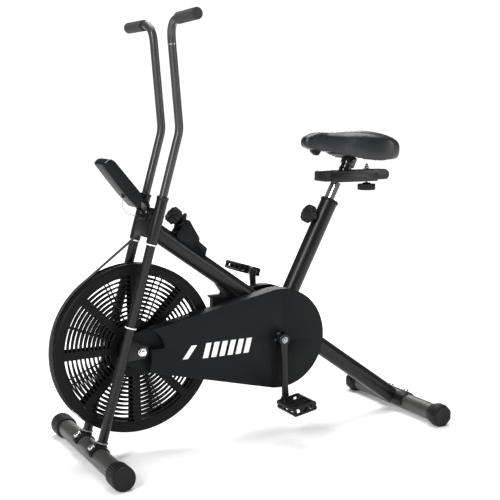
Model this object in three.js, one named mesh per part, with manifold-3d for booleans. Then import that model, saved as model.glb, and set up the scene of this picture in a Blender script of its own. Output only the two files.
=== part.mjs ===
// Air bike: a fan-braked exercise bicycle on two floor stabilisers.
// Millimetres, +Z up, +X towards the rear of the bike, -Y is the rider's left.
// Inside the bike group x = 0 is the front stabiliser's axis and z = 0 is the floor; the group
// is then shifted so that the origin is the centre of the bounding box's base.

import * as THREE from 'three';
import { mergeVertices } from 'three/addons/utils/BufferGeometryUtils.js';
import Module from 'manifold-3d';

const wasm = await Module();
wasm.setup();

// ---------------------------------------------------------------- driving dimensions
const GAP = 0.3;                    // clearance between pieces that touch or slide
const FRONT_REACH = -102;           // front of the fan strap
const REAR_REACH = 1038;            // rear face of the rear stabiliser's caps

const STABILISER = { radius: 25, wall: 2, height: 32 };
const FRONT_STABILISER = { x: 0, halfLength: 252, capLength: 58 };
const REAR_STABILISER = { x: 1006, halfLength: 233, capLength: 46 };
const CAP_RADIUS = 32;
const SADDLE_PLATE = 4;

const FORK = {
  y: 58.3, radius: 12.7, sleeveRadius: 15, boreRadius: 11.4, boreDepth: 62,
  footX: 12, footZ: 59, topX: 194.3, topZ: 700.5, sleeveLength: 127,
};
const RING = { radius: 15.6, height: 4, stations: [4, 312, 535] };
const HEAD = { x: 174, z: 629, thick: 26, halfWidth: 43, height: 80 };

const BAR_RADIUS = 11.1;
const GRIP = { radius: 15.2, start: 112, end: 225 };

const WHEEL = { x: 128, z: 294, radius: 229, rimInner: 204, halfWidth: 22, hubRadius: 76 };
const AXLE = { radius: 6, halfLength: 71, lugOffset: 19 };
const SPROCKET_Y = -34.5;

const BEAM = { x: 213, z: 590.7, slope: 35.3, radius: 25, wall: 2 };
const SEAT_TUBE = { footX: 578.5, footZ: 332, topX: 749, topZ: 659.4, radius: 25, boreRadius: 23.1 };
const POST = { radius: 19, boreRadius: 16.5, insert: 230, reach: 62 };
const CRANK = { x: 545, z: 286, length: 170, armY: 98, armThick: 14, spindle: 8 };

const COVER = { frontRadius: 51, rearRadius: 142.5, noseY: -43, faceY: -70, wall: 2.5, backY: -26 };
const SLIDER = { front: 708, rear: 953, bottom: 721, top: 752, halfWidth: 19 };
const CLAMP = { x: 882, radius: 4, slot: 34 };

// ---------------------------------------------------------------- finishes
const finish = (color, roughness, metalness) =>
  new THREE.MeshStandardMaterial({ color, roughness, metalness });

const framePaint = finish(0x2b2c2e, 0.45, 0.3);
const tubePaint = finish(0x3c3d40, 0.42, 0.35);
const blackPlastic = finish(0x1f2022, 0.6, 0.0);
const capPlastic = finish(0x161617, 0.7, 0.0);
const fanPlastic = finish(0x1b1b1c, 0.55, 0.0);
const foam = finish(0x2a2a2c, 0.95, 0.0);
const whitePlastic = finish(0xe9e9e6, 0.5, 0.0);
const chrome = finish(0xc9ccd0, 0.15, 1.0);
const steel = finish(0x8d9093, 0.35, 0.9);
const chainSteel = finish(0x4a4a49, 0.45, 0.8);
const strapCloth = finish(0x19191a, 0.9, 0.0);
const vinyl = finish(0x1d1e22, 0.5, 0.0);
const lensPlastic = finish(0x6f7a76, 0.2, 0.0);
const buttonPlastic = finish(0x8b1d1d, 0.5, 0.0);
const wireJacket = finish(0x9a9a98, 0.6, 0.0);

// ---------------------------------------------------------------- helpers
const V = (x, y, z) => new THREE.Vector3(x, y, z);
const RAD = Math.PI / 180;

// Strips a geometry down to one closed, outward-facing indexed surface.
function closed(geometry) {
  const source = geometry.index ? geometry.toNonIndexed() : geometry.clone();
  source.deleteAttribute('normal');
  source.deleteAttribute('uv');
  const merged = mergeVertices(source, 1e-3);
  const position = merged.getAttribute('position');
  const index = merged.index.array;
  const kept = [];
  let volume = 0;
  const [a, b, c] = [V(), V(), V()];
  for (let i = 0; i < index.length; i += 3) {
    const [i0, i1, i2] = [index[i], index[i + 1], index[i + 2]];
    if (i0 === i1 || i1 === i2 || i2 === i0) continue;
    kept.push(i0, i1, i2);
    a.fromBufferAttribute(position, i0);
    b.fromBufferAttribute(position, i1);
    c.fromBufferAttribute(position, i2);
    volume += a.dot(b.cross(c));
  }
  if (volume < 0) kept.reverse();
  const result = new THREE.BufferGeometry();
  result.setAttribute('position', position);
  result.setIndex(kept);
  return result;
}

function toSolid(geometry) {
  const surface = closed(geometry);
  const vertProperties = new Float32Array(surface.getAttribute('position').array);
  const triVerts = new Uint32Array(surface.index.array);
  return new wasm.Manifold(new wasm.Mesh({ numProp: 3, vertProperties, triVerts }));
}

function fromSolid(solid) {
  const mesh = solid.getMesh();
  const result = new THREE.BufferGeometry();
  result.setAttribute('position', new THREE.BufferAttribute(mesh.vertProperties, 3));
  result.setIndex(new THREE.BufferAttribute(mesh.triVerts, 1));
  return result;
}

const join = (...shapes) => fromSolid(shapes.map(toSolid).reduce((sum, next) => sum.add(next)));
const cut = (base, ...tools) =>
  fromSolid(tools.map(toSolid).reduce((rest, tool) => rest.subtract(tool), toSolid(base)));
const common = (a, b) => fromSolid(toSolid(a).intersect(toSolid(b)));

// A round bar from one point to another.
function rod(from, to, radius, segments = 20, endRadius = radius) {
  const run = to.clone().sub(from);
  const shape = new THREE.CylinderGeometry(endRadius, radius, run.length(), segments);
  shape.rotateY(Math.PI / segments);
  shape.applyQuaternion(new THREE.Quaternion().setFromUnitVectors(V(0, 1, 0), run.clone().normalize()));
  const middle = from.clone().add(to).multiplyScalar(0.5);
  return shape.translate(middle.x, middle.y, middle.z);
}

// A turned piece about the Y axis; the profile is a list of [radius, y].
function turned(profile, segments = 24) {
  const points = profile.map(([radius, y]) => new THREE.Vector2(radius, y));
  return closed(new THREE.LatheGeometry(points, segments, Math.PI / segments));
}

// A turned piece moved so that its Y axis runs from a point along a direction.
function turnedAt(profile, from, direction, segments = 24) {
  const shape = turned(profile, segments);
  shape.applyQuaternion(new THREE.Quaternion().setFromUnitVectors(V(0, 1, 0), direction));
  return shape.translate(from.x, from.y, from.z);
}

// A flat plate whose outline lies in XZ and whose thickness runs between two y values.
function plate(outline, yLow, yHigh, bevel = 0) {
  const isShape = outline instanceof THREE.Shape;
  const shape = isShape ? outline : new THREE.Shape(outline.map(([x, z]) => new THREE.Vector2(x, z)));
  const solid = new THREE.ExtrudeGeometry(shape, {
    depth: yHigh - yLow - 2 * bevel, steps: 1, curveSegments: 10,
    bevelEnabled: bevel > 0, bevelSize: bevel, bevelThickness: bevel, bevelOffset: -bevel, bevelSegments: 1,
  });
  solid.rotateX(Math.PI / 2);
  return solid.translate(0, yHigh - bevel, 0);
}

function box(x0, x1, y0, y1, z0, z1) {
  const shape = new THREE.BoxGeometry(x1 - x0, y1 - y0, z1 - z0);
  return shape.translate((x0 + x1) / 2, (y0 + y1) / 2, (z0 + z1) / 2);
}

// A tube bent through a row of points, each bend rounded to a radius.
function bentRod(corners, bends, radius, segments, arcSteps) {
  const stations = [corners[0]];
  for (let i = 1; i < corners.length - 1; i += 1) {
    const before = corners[i - 1].clone().sub(corners[i]).normalize();
    const after = corners[i + 1].clone().sub(corners[i]).normalize();
    const reach = bends[i - 1] / Math.tan(before.angleTo(after) / 2);
    const curve = new THREE.QuadraticBezierCurve3(
      corners[i].clone().addScaledVector(before, reach), corners[i],
      corners[i].clone().addScaledVector(after, reach));
    stations.push(...curve.getPoints(arcSteps));
  }
  stations.push(corners[corners.length - 1]);
  return sweep(stations, radius, segments);
}

// Rings of vertices at each station, turned with the path, with a fan at each end.
function sweep(stations, radius, segments) {
  const positions = [];
  const index = [];
  const tangents = stations.map((point, i) => {
    const next = stations[Math.min(i + 1, stations.length - 1)];
    const last = stations[Math.max(i - 1, 0)];
    return next.clone().sub(last).normalize();
  });
  const side = V(0.3, 1, 0.2).cross(tangents[0]).normalize();
  stations.forEach((point, i) => {
    side.addScaledVector(tangents[i], -side.dot(tangents[i])).normalize();
    const up = tangents[i].clone().cross(side);
    for (let k = 0; k < segments; k += 1) {
      const angle = 2 * Math.PI * k / segments;
      const vertex = point.clone().addScaledVector(side, radius * Math.cos(angle));
      vertex.addScaledVector(up, radius * Math.sin(angle));
      positions.push(vertex.x, vertex.y, vertex.z);
    }
  });
  for (let i = 0; i < stations.length - 1; i += 1) {
    for (let k = 0; k < segments; k += 1) {
      const [a, b] = [i * segments + k, i * segments + (k + 1) % segments];
      index.push(a, b, a + segments, b, b + segments, a + segments);
    }
  }
  const [first, last] = [0, (stations.length - 1) * segments];
  for (let k = 1; k < segments - 1; k += 1) {
    index.push(first, first + k + 1, first + k, last, last + k, last + k + 1);
  }
  const shape = new THREE.BufferGeometry();
  shape.setAttribute('position', new THREE.Float32BufferAttribute(positions, 3));
  shape.setIndex(index);
  return shape;
}

// The outline of a knob with finger lobes.
function lobedOutline(radius, lobes, depth) {
  const count = lobes * 5;
  return Array.from({ length: count }, (_, i) => {
    const angle = 2 * Math.PI * i / count;
    const r = radius - depth * (0.5 - 0.5 * Math.cos(lobes * angle));
    return [r * Math.cos(angle), r * Math.sin(angle)];
  });
}

// A lobed knob along +Y from its hub's foot, with an optional screw below it.
function knob(radius, lobes, depth, hub, height, screwRadius, screwLength) {
  const pieces = [
    plate(lobedOutline(radius, lobes, depth), hub, height, 2.5),
    rod(V(0, 0, 0), V(0, hub + 1, 0), radius * 0.42, 12),
  ];
  if (screwLength > 0) pieces.push(rod(V(0, -screwLength, 0), V(0, 1, 0), screwRadius, 10));
  return join(...pieces);
}

// The tangent outline round two circles, front and rear, in XZ.
function twoCircleOutline(frontRadius, rearRadius, step = 10) {
  const run = CRANK.x - WHEEL.x;
  const rise = CRANK.z - WHEEL.z;
  const heading = Math.atan2(rise, run);
  const lean = Math.acos((frontRadius - rearRadius) / Math.hypot(run, rise));
  const points = [];
  const arc = (x, z, radius, from, to) => {
    const count = Math.round(Math.abs(to - from) / (step * RAD));
    for (let i = 0; i <= count; i += 1) {
      const angle = from + (to - from) * i / count;
      points.push([x + radius * Math.cos(angle), z + radius * Math.sin(angle)]);
    }
  };
  arc(WHEEL.x, WHEEL.z, frontRadius, heading + lean, heading + 2 * Math.PI - lean);
  arc(CRANK.x, CRANK.z, rearRadius, heading - lean, heading + lean);
  return points;
}

const bike = new THREE.Group();
bike.position.x = -(FRONT_REACH + REAR_REACH) / 2;

function add(name, geometry, material, parent = bike) {
  const mesh = new THREE.Mesh(closed(geometry), material);
  mesh.name = name;
  parent.add(mesh);
  return mesh;
}

function group(x, y, z, turnY = 0) {
  const frame = new THREE.Group();
  frame.position.set(x, y, z);
  frame.rotation.y = turnY;
  bike.add(frame);
  return frame;
}

const SIDES = [['left', -1], ['right', 1]];

// ---------------------------------------------------------------- floor stabilisers
function stabiliserFrame(spec) {
  return group(spec.x, 0, STABILISER.height);
}

function stabiliserTube(halfLength, holes) {
  const inner = STABILISER.radius - STABILISER.wall;
  const tube = turned([
    [inner, -halfLength], [STABILISER.radius, -halfLength], [STABILISER.radius, halfLength],
    [inner, halfLength], [inner, -halfLength],
  ], 24);
  return cut(tube, ...holes);
}

// A piece of curved plate lying on the tube between two angles.
function saddlePlate(y, halfWidth, fromDeg, toDeg) {
  const inner = STABILISER.radius + GAP;
  const outer = inner + SADDLE_PLATE;
  const steps = Math.round((toDeg - fromDeg) / 13);
  const angles = Array.from({ length: steps + 1 }, (_, i) => RAD * (fromDeg + (toDeg - fromDeg) * i / steps));
  const outline = [
    ...angles.map((angle) => [outer * Math.cos(angle), outer * Math.sin(angle)]),
    ...angles.reverse().map((angle) => [inner * Math.cos(angle), inner * Math.sin(angle)]),
  ];
  return plate(outline, y - halfWidth, y + halfWidth);
}

const around = (deg) => V(Math.cos(RAD * deg), 0, Math.sin(RAD * deg));
const BOLT = { radius: 4, headRadius: 10, headHeight: 5.5, shank: 14 };

function boltHole(y, deg) {
  const out = around(deg);
  const at = V(0, y, 0);
  return rod(at.clone().addScaledVector(out, 12), at.clone().addScaledVector(out, 40), BOLT.radius + GAP, 12);
}

// A dome-headed bolt standing on the saddle plate.
function boltAt(y, deg) {
  const seat = STABILISER.radius + 2 * GAP + SADDLE_PLATE + 0.15;
  const head = [
    [0, -BOLT.shank], [BOLT.radius, -BOLT.shank], [BOLT.radius, 0], [BOLT.headRadius, 0],
    [BOLT.headRadius * 0.9, BOLT.headHeight * 0.5], [BOLT.headRadius * 0.5, BOLT.headHeight * 0.9],
    [0, BOLT.headHeight],
  ];
  const out = around(deg);
  return turnedAt(head, V(0, y, 0).addScaledVector(out, seat), out, 12);
}

const frontBolt = { y: 58, deg: 121 };
const rearBolt = { y: 37, deg: 58 };

const front = stabiliserFrame(FRONT_STABILISER);
const frontHoles = SIDES.map(([, s]) => boltHole(s * frontBolt.y, frontBolt.deg));
add('front_stabiliser', stabiliserTube(FRONT_STABILISER.halfLength - 8, frontHoles), tubePaint, front);

const rear = stabiliserFrame(REAR_STABILISER);
const rearHoles = SIDES.map(([, s]) => boltHole(s * rearBolt.y, rearBolt.deg));
add('rear_stabiliser', stabiliserTube(REAR_STABILISER.halfLength - 8, rearHoles), tubePaint, rear);
add('rear_saddle_plate', cut(saddlePlate(0, 65, 15, 195), ...rearHoles), framePaint, rear);

// A cap over the tube's end, with a flat facing the floor.
function endCap(profile, segments, side) {
  const flatRadius = 1 / Math.cos(Math.PI / segments);
  const outer = turned(profile.map(([r, y]) => [r * flatRadius, y]), segments);
  const bore = rod(V(0, -10, 0), V(0, profile[profile.length - 1][1] - 7.5, 0), STABILISER.radius + GAP, 24);
  const cap = cut(outer, bore);
  return side < 0 ? cap.rotateZ(Math.PI).rotateY(Math.PI) : cap;
}

for (const [side, s] of SIDES) {
  const length = FRONT_STABILISER.capLength;
  const frontProfile = [
    [0, 0], [CAP_RADIUS - 1.5, 0], [CAP_RADIUS, 2], [CAP_RADIUS, length - 4],
    [CAP_RADIUS - 4, length], [0, length],
  ];
  const frontCap = add(`front_cap_${side}`, endCap(frontProfile, 24, s), capPlastic, front);
  frontCap.position.y = s * (FRONT_STABILISER.halfLength - length);

  const rearLength = REAR_STABILISER.capLength;
  const rearProfile = [
    [0, 0], [CAP_RADIUS - 4, 0], [CAP_RADIUS, 14], [CAP_RADIUS, rearLength - 4],
    [CAP_RADIUS - 4, rearLength], [0, rearLength],
  ];
  const rearCap = add(`rear_cap_${side}`, endCap(rearProfile, 8, s), capPlastic, rear);
  rearCap.position.y = s * (REAR_STABILISER.halfLength - rearLength);

  add(`front_bolt_${side}`, boltAt(s * frontBolt.y, frontBolt.deg), chrome, front);
  add(`rear_bolt_${side}`, boltAt(s * rearBolt.y, rearBolt.deg), chrome, rear);
}

// ---------------------------------------------------------------- fork legs, head and handlebars
const legRun = V(FORK.topX - FORK.footX, 0, FORK.topZ - FORK.footZ);
const legLength = legRun.length();
const legDirection = legRun.clone().normalize();
const legLean = Math.atan2(legRun.x, legRun.z);
const onLeg = (distance, y) => V(FORK.footX, y, FORK.footZ).addScaledVector(legDirection, distance);

for (const [side, s] of SIDES) {
  const y = s * FORK.y;
  const footPlate = saddlePlate(y, 22.5, 20, 165).translate(FRONT_STABILISER.x, 0, STABILISER.height);
  const legBottom = onLeg(-20, y);
  const sleeveFoot = onLeg(legLength - FORK.sleeveLength, y);
  const lugOutline = new THREE.Shape();
  lugOutline.moveTo(82, WHEEL.z - 22);
  lugOutline.lineTo(WHEEL.x, WHEEL.z - AXLE.lugOffset);
  lugOutline.absarc(WHEEL.x, WHEEL.z, AXLE.lugOffset, -Math.PI / 2, Math.PI / 2, false);
  lugOutline.lineTo(92, WHEEL.z + 40);
  const lug = plate(lugOutline, y - 2.5, y + 2.5);
  const body = join(
    rod(legBottom, onLeg(legLength - 2, y), FORK.radius, 16),
    rod(sleeveFoot, onLeg(legLength - 6, y), FORK.sleeveRadius, 16),
    rod(onLeg(legLength - 7, y), onLeg(legLength, y), FORK.sleeveRadius + 1.2, 16),
    footPlate, lug,
  );
  const stabiliserSpace = rod(
    V(FRONT_STABILISER.x, y - 40, STABILISER.height), V(FRONT_STABILISER.x, y + 40, STABILISER.height),
    STABILISER.radius + GAP, 24);
  const barBore = rod(onLeg(legLength - FORK.boreDepth, y), onLeg(legLength + 5, y), FORK.boreRadius, 16);
  const axleHole = rod(V(WHEEL.x, y - 10, WHEEL.z), V(WHEEL.x, y + 10, WHEEL.z), AXLE.radius + GAP, 12);
  const bolt = boltHole(s * frontBolt.y, frontBolt.deg).translate(FRONT_STABILISER.x, 0, STABILISER.height);
  add(`fork_${side}`, cut(body, stabiliserSpace, barBore, axleHole, bolt), framePaint);

  RING.stations.forEach((station, i) => {
    const bore = FORK.radius + GAP;
    const ring = [
      [bore, 0], [RING.radius, 0], [RING.radius, RING.height], [bore, RING.height], [bore, 0],
    ];
    const height = ['foot', 'middle', 'top'][i];
    add(`ring_${height}_${side}`, turnedAt(ring, onLeg(station, y), legDirection, 16), whitePlastic);
  });

  const bendLow = onLeg(legLength + 178, y);
  const bendTop = V(219.5, y, 1151);
  const barEnd = V(218, s * (GRIP.end - 6), 1153.5);
  const corners = [onLeg(legLength - FORK.boreDepth + 2, y), bendLow, bendTop, barEnd];
  add(`handlebar_${side}`, bentRod(corners, [90, 52], BAR_RADIUS, 12, 5), tubePaint);

  const gripRun = barEnd.clone().sub(bendTop).normalize();
  const gripFoot = bendTop.clone().addScaledVector(gripRun, (GRIP.start - FORK.y) / Math.abs(gripRun.y));
  const gripLength = (GRIP.end - GRIP.start) / Math.abs(gripRun.y);
  const depth = gripLength - 4;
  const bore = BAR_RADIUS + GAP + 0.2;
  const grip = [
    [0, depth], [bore, depth], [bore, 0], [GRIP.radius - 1, 0], [GRIP.radius, 2],
    [GRIP.radius, gripLength - 2], [GRIP.radius - 2, gripLength], [0, gripLength],
  ];
  add(`grip_${side}`, turnedAt(grip, gripFoot, gripRun, 14), foam);
}

const head = group(HEAD.x, 0, HEAD.z, legLean);
const headBlock = (grow) => box(
  -HEAD.thick / 2 - grow, HEAD.thick / 2 + grow, -HEAD.halfWidth, HEAD.halfWidth,
  -HEAD.height / 2 - grow, HEAD.height / 2 + grow);
add('head_bracket', headBlock(0), framePaint, head);

// ---------------------------------------------------------------- console, its bracket and its wire
const CONSOLE = { x: 30.8, z: 781.6, tilt: 50.2, halfWidth: 42, face: 39.2 };
const LENS = { from: 36, to: 102, halfWidth: 31, thick: 1.4 };
const BUTTON = { u: 113, radius: 5.5, height: 5.2, travel: 1.5 };

const consoleFrame = group(CONSOLE.x, 0, CONSOLE.z, CONSOLE.tilt * RAD);
const consoleProfile = [
  [3, 9], [-0.4, 14], [0, 24], [5, 34.5], [18, CONSOLE.face], [122, CONSOLE.face],
  [134, 35.5], [153, 16.9], [149, 7.6], [100, 5.1],
];
const lensPocket = box(
  LENS.from - GAP, LENS.to + GAP, -LENS.halfWidth - GAP, LENS.halfWidth + GAP,
  CONSOLE.face - LENS.thick - 0.6, CONSOLE.face + 5);
const buttonHole = rod(
  V(BUTTON.u, 0, CONSOLE.face - BUTTON.height - BUTTON.travel), V(BUTTON.u, 0, CONSOLE.face + 5),
  BUTTON.radius + GAP, 16);
const consoleShell = plate(consoleProfile, -CONSOLE.halfWidth, CONSOLE.halfWidth, 3);
add('console_body', cut(consoleShell, lensPocket, buttonHole), blackPlastic, consoleFrame);
add('console_lens', box(
  LENS.from, LENS.to, -LENS.halfWidth, LENS.halfWidth,
  CONSOLE.face - LENS.thick - 0.3, CONSOLE.face - 0.3), lensPlastic, consoleFrame);
add('console_button', rod(
  V(BUTTON.u, 0, CONSOLE.face - BUTTON.height + 1.2), V(BUTTON.u, 0, CONSOLE.face + 1.2),
  BUTTON.radius, 16), buttonPlastic, consoleFrame);

const bracketSide = -HEAD.thick / 2 - GAP;
const bracketProfile = [
  [bracketSide, 4], [bracketSide, 46], [-22, 52], [-47.6, 58], [-43.4, 39.5], [-25, 36], [-18.5, 30], [-18.5, 4],
];
add('console_bracket', join(
  plate(bracketProfile, -20, 20),
  rod(V(-40.5, -10, 12.5), V(-16, -10, 12.5), 4, 14),
), capPlastic, head);

const WIRE_RADIUS = 1.2;
const wireRoute = new THREE.CatmullRomCurve3([
  V(102.0, -10, 702.2), V(100.0, -10, 692), V(99.6, -10, 678), V(104.5, -10, 665),
  V(115, -10, 655), V(126, -10, 651.5), V(135.5, -10, 650.6),
]);
const wireSection = new THREE.Shape(Array.from({ length: 8 }, (_, i) =>
  new THREE.Vector2(WIRE_RADIUS * Math.cos(i * Math.PI / 4), WIRE_RADIUS * Math.sin(i * Math.PI / 4))));
add('sensor_wire', new THREE.ExtrudeGeometry(wireSection, { steps: 16, extrudePath: wireRoute }), wireJacket);

// ---------------------------------------------------------------- main beam and seat tube
const beamDirection = V(Math.cos(BEAM.slope * RAD), 0, -Math.sin(BEAM.slope * RAD));
const onBeam = (x) => V(BEAM.x, 0, BEAM.z).addScaledVector(beamDirection, (x - BEAM.x) / beamDirection.x);
const beamSpace = rod(onBeam(150), onBeam(1000), BEAM.radius + GAP, 24);
const rearPlateSpace = rod(
  V(REAR_STABILISER.x, -60, STABILISER.height), V(REAR_STABILISER.x, 60, STABILISER.height),
  STABILISER.radius + SADDLE_PLATE + 2 * GAP, 24);
const headSpace = headBlock(GAP).rotateY(legLean).translate(HEAD.x, 0, HEAD.z);
const beamBore = rod(onBeam(100), onBeam(1010), BEAM.radius - BEAM.wall, 20);
add('main_beam', cut(rod(onBeam(178), onBeam(1000), BEAM.radius, 24), headSpace, rearPlateSpace, beamBore),
  framePaint);

const seatRun = V(SEAT_TUBE.topX - SEAT_TUBE.footX, 0, SEAT_TUBE.topZ - SEAT_TUBE.footZ);
const seatDirection = seatRun.clone().normalize();
const seatTop = V(SEAT_TUBE.topX, 0, SEAT_TUBE.topZ);
const onSeat = (above) => seatTop.clone().addScaledVector(seatDirection, above);
const knobDirection = V(-seatDirection.z, 0, seatDirection.x);
const HEIGHT_KNOB = { below: 60.7, boss: 31, radius: 27, screw: 4.5 };
const knobFoot = onSeat(-HEIGHT_KNOB.below);
const fromKnobFoot = (distance) => knobFoot.clone().addScaledVector(knobDirection, distance);

add('seat_tube', cut(
  join(
    rod(V(SEAT_TUBE.footX, 0, SEAT_TUBE.footZ), onSeat(-0.3), SEAT_TUBE.radius, 20),
    rod(fromKnobFoot(20), fromKnobFoot(HEIGHT_KNOB.boss), 10, 12),
  ),
  beamSpace,
  rod(V(SEAT_TUBE.footX, 0, SEAT_TUBE.footZ), onSeat(10), SEAT_TUBE.boreRadius, 20),
  rod(fromKnobFoot(15), fromKnobFoot(40), HEIGHT_KNOB.screw + GAP, 12),
), framePaint);

const collarBore = POST.radius + GAP;
const collarProfile = [
  [collarBore, -50], [SEAT_TUBE.boreRadius - GAP, -50], [SEAT_TUBE.boreRadius - GAP, 0],
  [SEAT_TUBE.radius + 2.5, 0], [SEAT_TUBE.radius + 2.5, 5], [SEAT_TUBE.radius, 8], [collarBore, 8], [collarBore, -50],
];
add('seat_collar', turnedAt(collarProfile, seatTop, seatDirection, 20), capPlastic);

const heightKnob = add('height_knob',
  knob(HEIGHT_KNOB.radius, 5, 4, 6, 26, HEIGHT_KNOB.screw, 12), capPlastic);
heightKnob.position.copy(fromKnobFoot(HEIGHT_KNOB.boss + 1));
heightKnob.quaternion.setFromUnitVectors(V(0, 1, 0), knobDirection);

// ---------------------------------------------------------------- seat post, slider and saddle
const CHANNEL = { front: 745, rear: 908, wall: 3, top: 741 };
const channelFloor = SLIDER.bottom - GAP;
const channelInner = SLIDER.halfWidth + GAP;
const channel = cut(
  box(CHANNEL.front, CHANNEL.rear, -channelInner - CHANNEL.wall, channelInner + CHANNEL.wall,
    channelFloor - 4, CHANNEL.top),
  box(CHANNEL.front - 5, CHANNEL.rear + 5, -channelInner, channelInner, channelFloor, CHANNEL.top + 5),
);
const postTop = onSeat(POST.reach);
const aboveChannelFloor = box(700, 900, -40, 40, channelFloor - 1, 900);
const postBore = rod(onSeat(-POST.insert - 5), onSeat(POST.reach - 16), POST.boreRadius, 16);
add('seat_post', cut(
  join(cut(rod(onSeat(-POST.insert), postTop, POST.radius, 20), aboveChannelFloor), channel),
  postBore,
  rod(V(CLAMP.x, 0, 700), V(CLAMP.x, 0, 730), CLAMP.radius + GAP, 12),
), chrome);

const stemFoot = V(800, 0, SLIDER.top - 6);
const stemTop = stemFoot.clone().addScaledVector(seatDirection, 31);
const slotOutline = new THREE.Shape();
slotOutline.moveTo(CLAMP.x - CLAMP.slot, -4.8);
slotOutline.lineTo(CLAMP.x + CLAMP.slot, -4.8);
slotOutline.absarc(CLAMP.x + CLAMP.slot, 0, 4.8, -Math.PI / 2, Math.PI / 2, false);
slotOutline.lineTo(CLAMP.x - CLAMP.slot, 4.8);
slotOutline.absarc(CLAMP.x - CLAMP.slot, 0, 4.8, Math.PI / 2, 3 * Math.PI / 2, false);
const slot = new THREE.ExtrudeGeometry(slotOutline, { depth: 60, bevelEnabled: false, curveSegments: 8 });
slot.translate(0, 0, SLIDER.bottom - 15);
const sliderMid = (SLIDER.bottom + SLIDER.top) / 2;
const sliderOutline = [
  [SLIDER.front, SLIDER.bottom], [SLIDER.rear - 8, SLIDER.bottom], [SLIDER.rear, sliderMid - 6],
  [SLIDER.rear, sliderMid + 6], [SLIDER.rear - 8, SLIDER.top], [SLIDER.front, SLIDER.top],
];
add('saddle_slider', cut(
  join(plate(sliderOutline, -SLIDER.halfWidth, SLIDER.halfWidth, 2), rod(stemFoot, stemTop, 17, 16)),
  slot,
), framePaint);

const clampBolt = [
  [0, 700], [CLAMP.radius, 700], [CLAMP.radius, SLIDER.top + GAP], [11, SLIDER.top + GAP], [11, 754.5],
  [7.5, 754.5], [7.5, 761], [CLAMP.radius, 761], [CLAMP.radius, 768], [0, 769],
];
const upright = new THREE.Group();
upright.position.x = CLAMP.x;
upright.rotation.x = Math.PI / 2;
bike.add(upright);
add('clamp_bolt', turned(clampBolt, 12), chrome, upright);
const clampKnobHole = rod(V(0, 698, 0), V(0, 730, 0), CLAMP.radius + GAP, 12);
const clampKnobBody = knob(27, 5, 4, 4, 22, 0, 0).rotateX(Math.PI).translate(0, 712, 0);
add('clamp_knob', cut(clampKnobBody, clampKnobHole), capPlastic, upright);

// Saddle cross-sections from nose to tail: [x, half width, top, shoulder, bottom].
const SADDLE_SECTIONS = [
  [652, 10, 842, 836, 826], [657, 18, 851, 840, 820], [670, 24, 858, 845, 815], [695, 28, 862, 848, 811],
  [735, 36, 861, 846, 806], [772, 54, 862, 843, 794], [804, 74, 865, 838, 785], [836, 92, 866, 834, 779],
  [867, 103, 864, 832, 777], [899, 106, 858, 829, 778], [926, 98, 847, 823, 781], [945, 78, 832, 814, 785],
  [956, 50, 819, 808, 790],
];
const CROWN = 0.62;                 // share of the half width that stays near the top height

function saddleBody() {
  const positions = [];
  const index = [];
  const ring = 12;
  for (const [x, half, top, shoulder, bottom] of SADDLE_SECTIONS) {
    const rightSide = [
      [0, top], [half * CROWN, top - (top - shoulder) * 0.28], [half * 0.9, shoulder], [half, (shoulder + bottom) / 2],
      [half * 0.97, bottom + 2], [half * 0.9, bottom],
    ];
    const outline = [...rightSide, [0, bottom], ...rightSide.slice(1).reverse().map(([y, z]) => [-y, z])];
    outline.forEach(([y, z]) => positions.push(x, y, z));
  }
  const sections = SADDLE_SECTIONS.length;
  for (let i = 0; i < sections - 1; i += 1) {
    for (let k = 0; k < ring; k += 1) {
      const [a, b] = [i * ring + k, i * ring + (k + 1) % ring];
      index.push(a, b, a + ring, b, b + ring, a + ring);
    }
  }
  const last = (sections - 1) * ring;
  for (let k = 1; k < ring - 1; k += 1) index.push(0, k + 1, k, last, last + k, last + k + 1);
  const shape = new THREE.BufferGeometry();
  shape.setAttribute('position', new THREE.Float32BufferAttribute(positions, 3));
  shape.setIndex(index);
  return shape;
}

// The base pan fills a recess under the pad, so the pad's skirt hides its edge.
const PAN = { thick: 9, inset: 0.8 };
const panSide = (scale, grow, low, high) => {
  const rightEdge = SADDLE_SECTIONS.slice(3, 12).map(([x, half]) => [x, half * scale + grow]);
  const outline = [...rightEdge, ...rightEdge.slice().reverse().map(([x, y]) => [x, -y])];
  const shape = new THREE.Shape(outline.map(([x, y]) => new THREE.Vector2(x, y)));
  const solid = new THREE.ExtrudeGeometry(shape, { depth: high - low, bevelEnabled: false });
  return solid.translate(0, 0, low);
};
const panLow = 796;
const panHigh = panLow + PAN.thick;
add('saddle_pad', cut(saddleBody(), panSide(PAN.inset, GAP, 700, panHigh + GAP)), vinyl);
const stemSpace = rod(stemFoot, stemTop.clone().addScaledVector(seatDirection, 0.4), 17 + 2 * GAP, 16);
const socketTop = stemTop.clone().addScaledVector(seatDirection, 22);
add('saddle_base', cut(
  join(panSide(PAN.inset, 0, panLow, panHigh), common(
    rod(stemTop.clone().addScaledVector(seatDirection, -11), socketTop, 22, 16),
    box(700, 900, -60, 60, 700, panLow + 2))),
  stemSpace,
), blackPlastic);

// ---------------------------------------------------------------- bottom bracket and crank set
const shellHalf = 24;
const gussetOutline = [
  [CRANK.x - 34, CRANK.z + 66], [CRANK.x - 22, CRANK.z], [CRANK.x, CRANK.z - 22],
  [CRANK.x + 22, CRANK.z], [CRANK.x + 40, CRANK.z + 40],
];
add('bottom_bracket', cut(
  join(
    rod(V(CRANK.x, -shellHalf, CRANK.z), V(CRANK.x, shellHalf, CRANK.z), 24, 20),
    plate(gussetOutline, -18, 18),
  ),
  beamSpace,
  rod(V(CRANK.x, -40, CRANK.z), V(CRANK.x, 40, CRANK.z), CRANK.spindle + 0.5, 16),
), framePaint);

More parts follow.
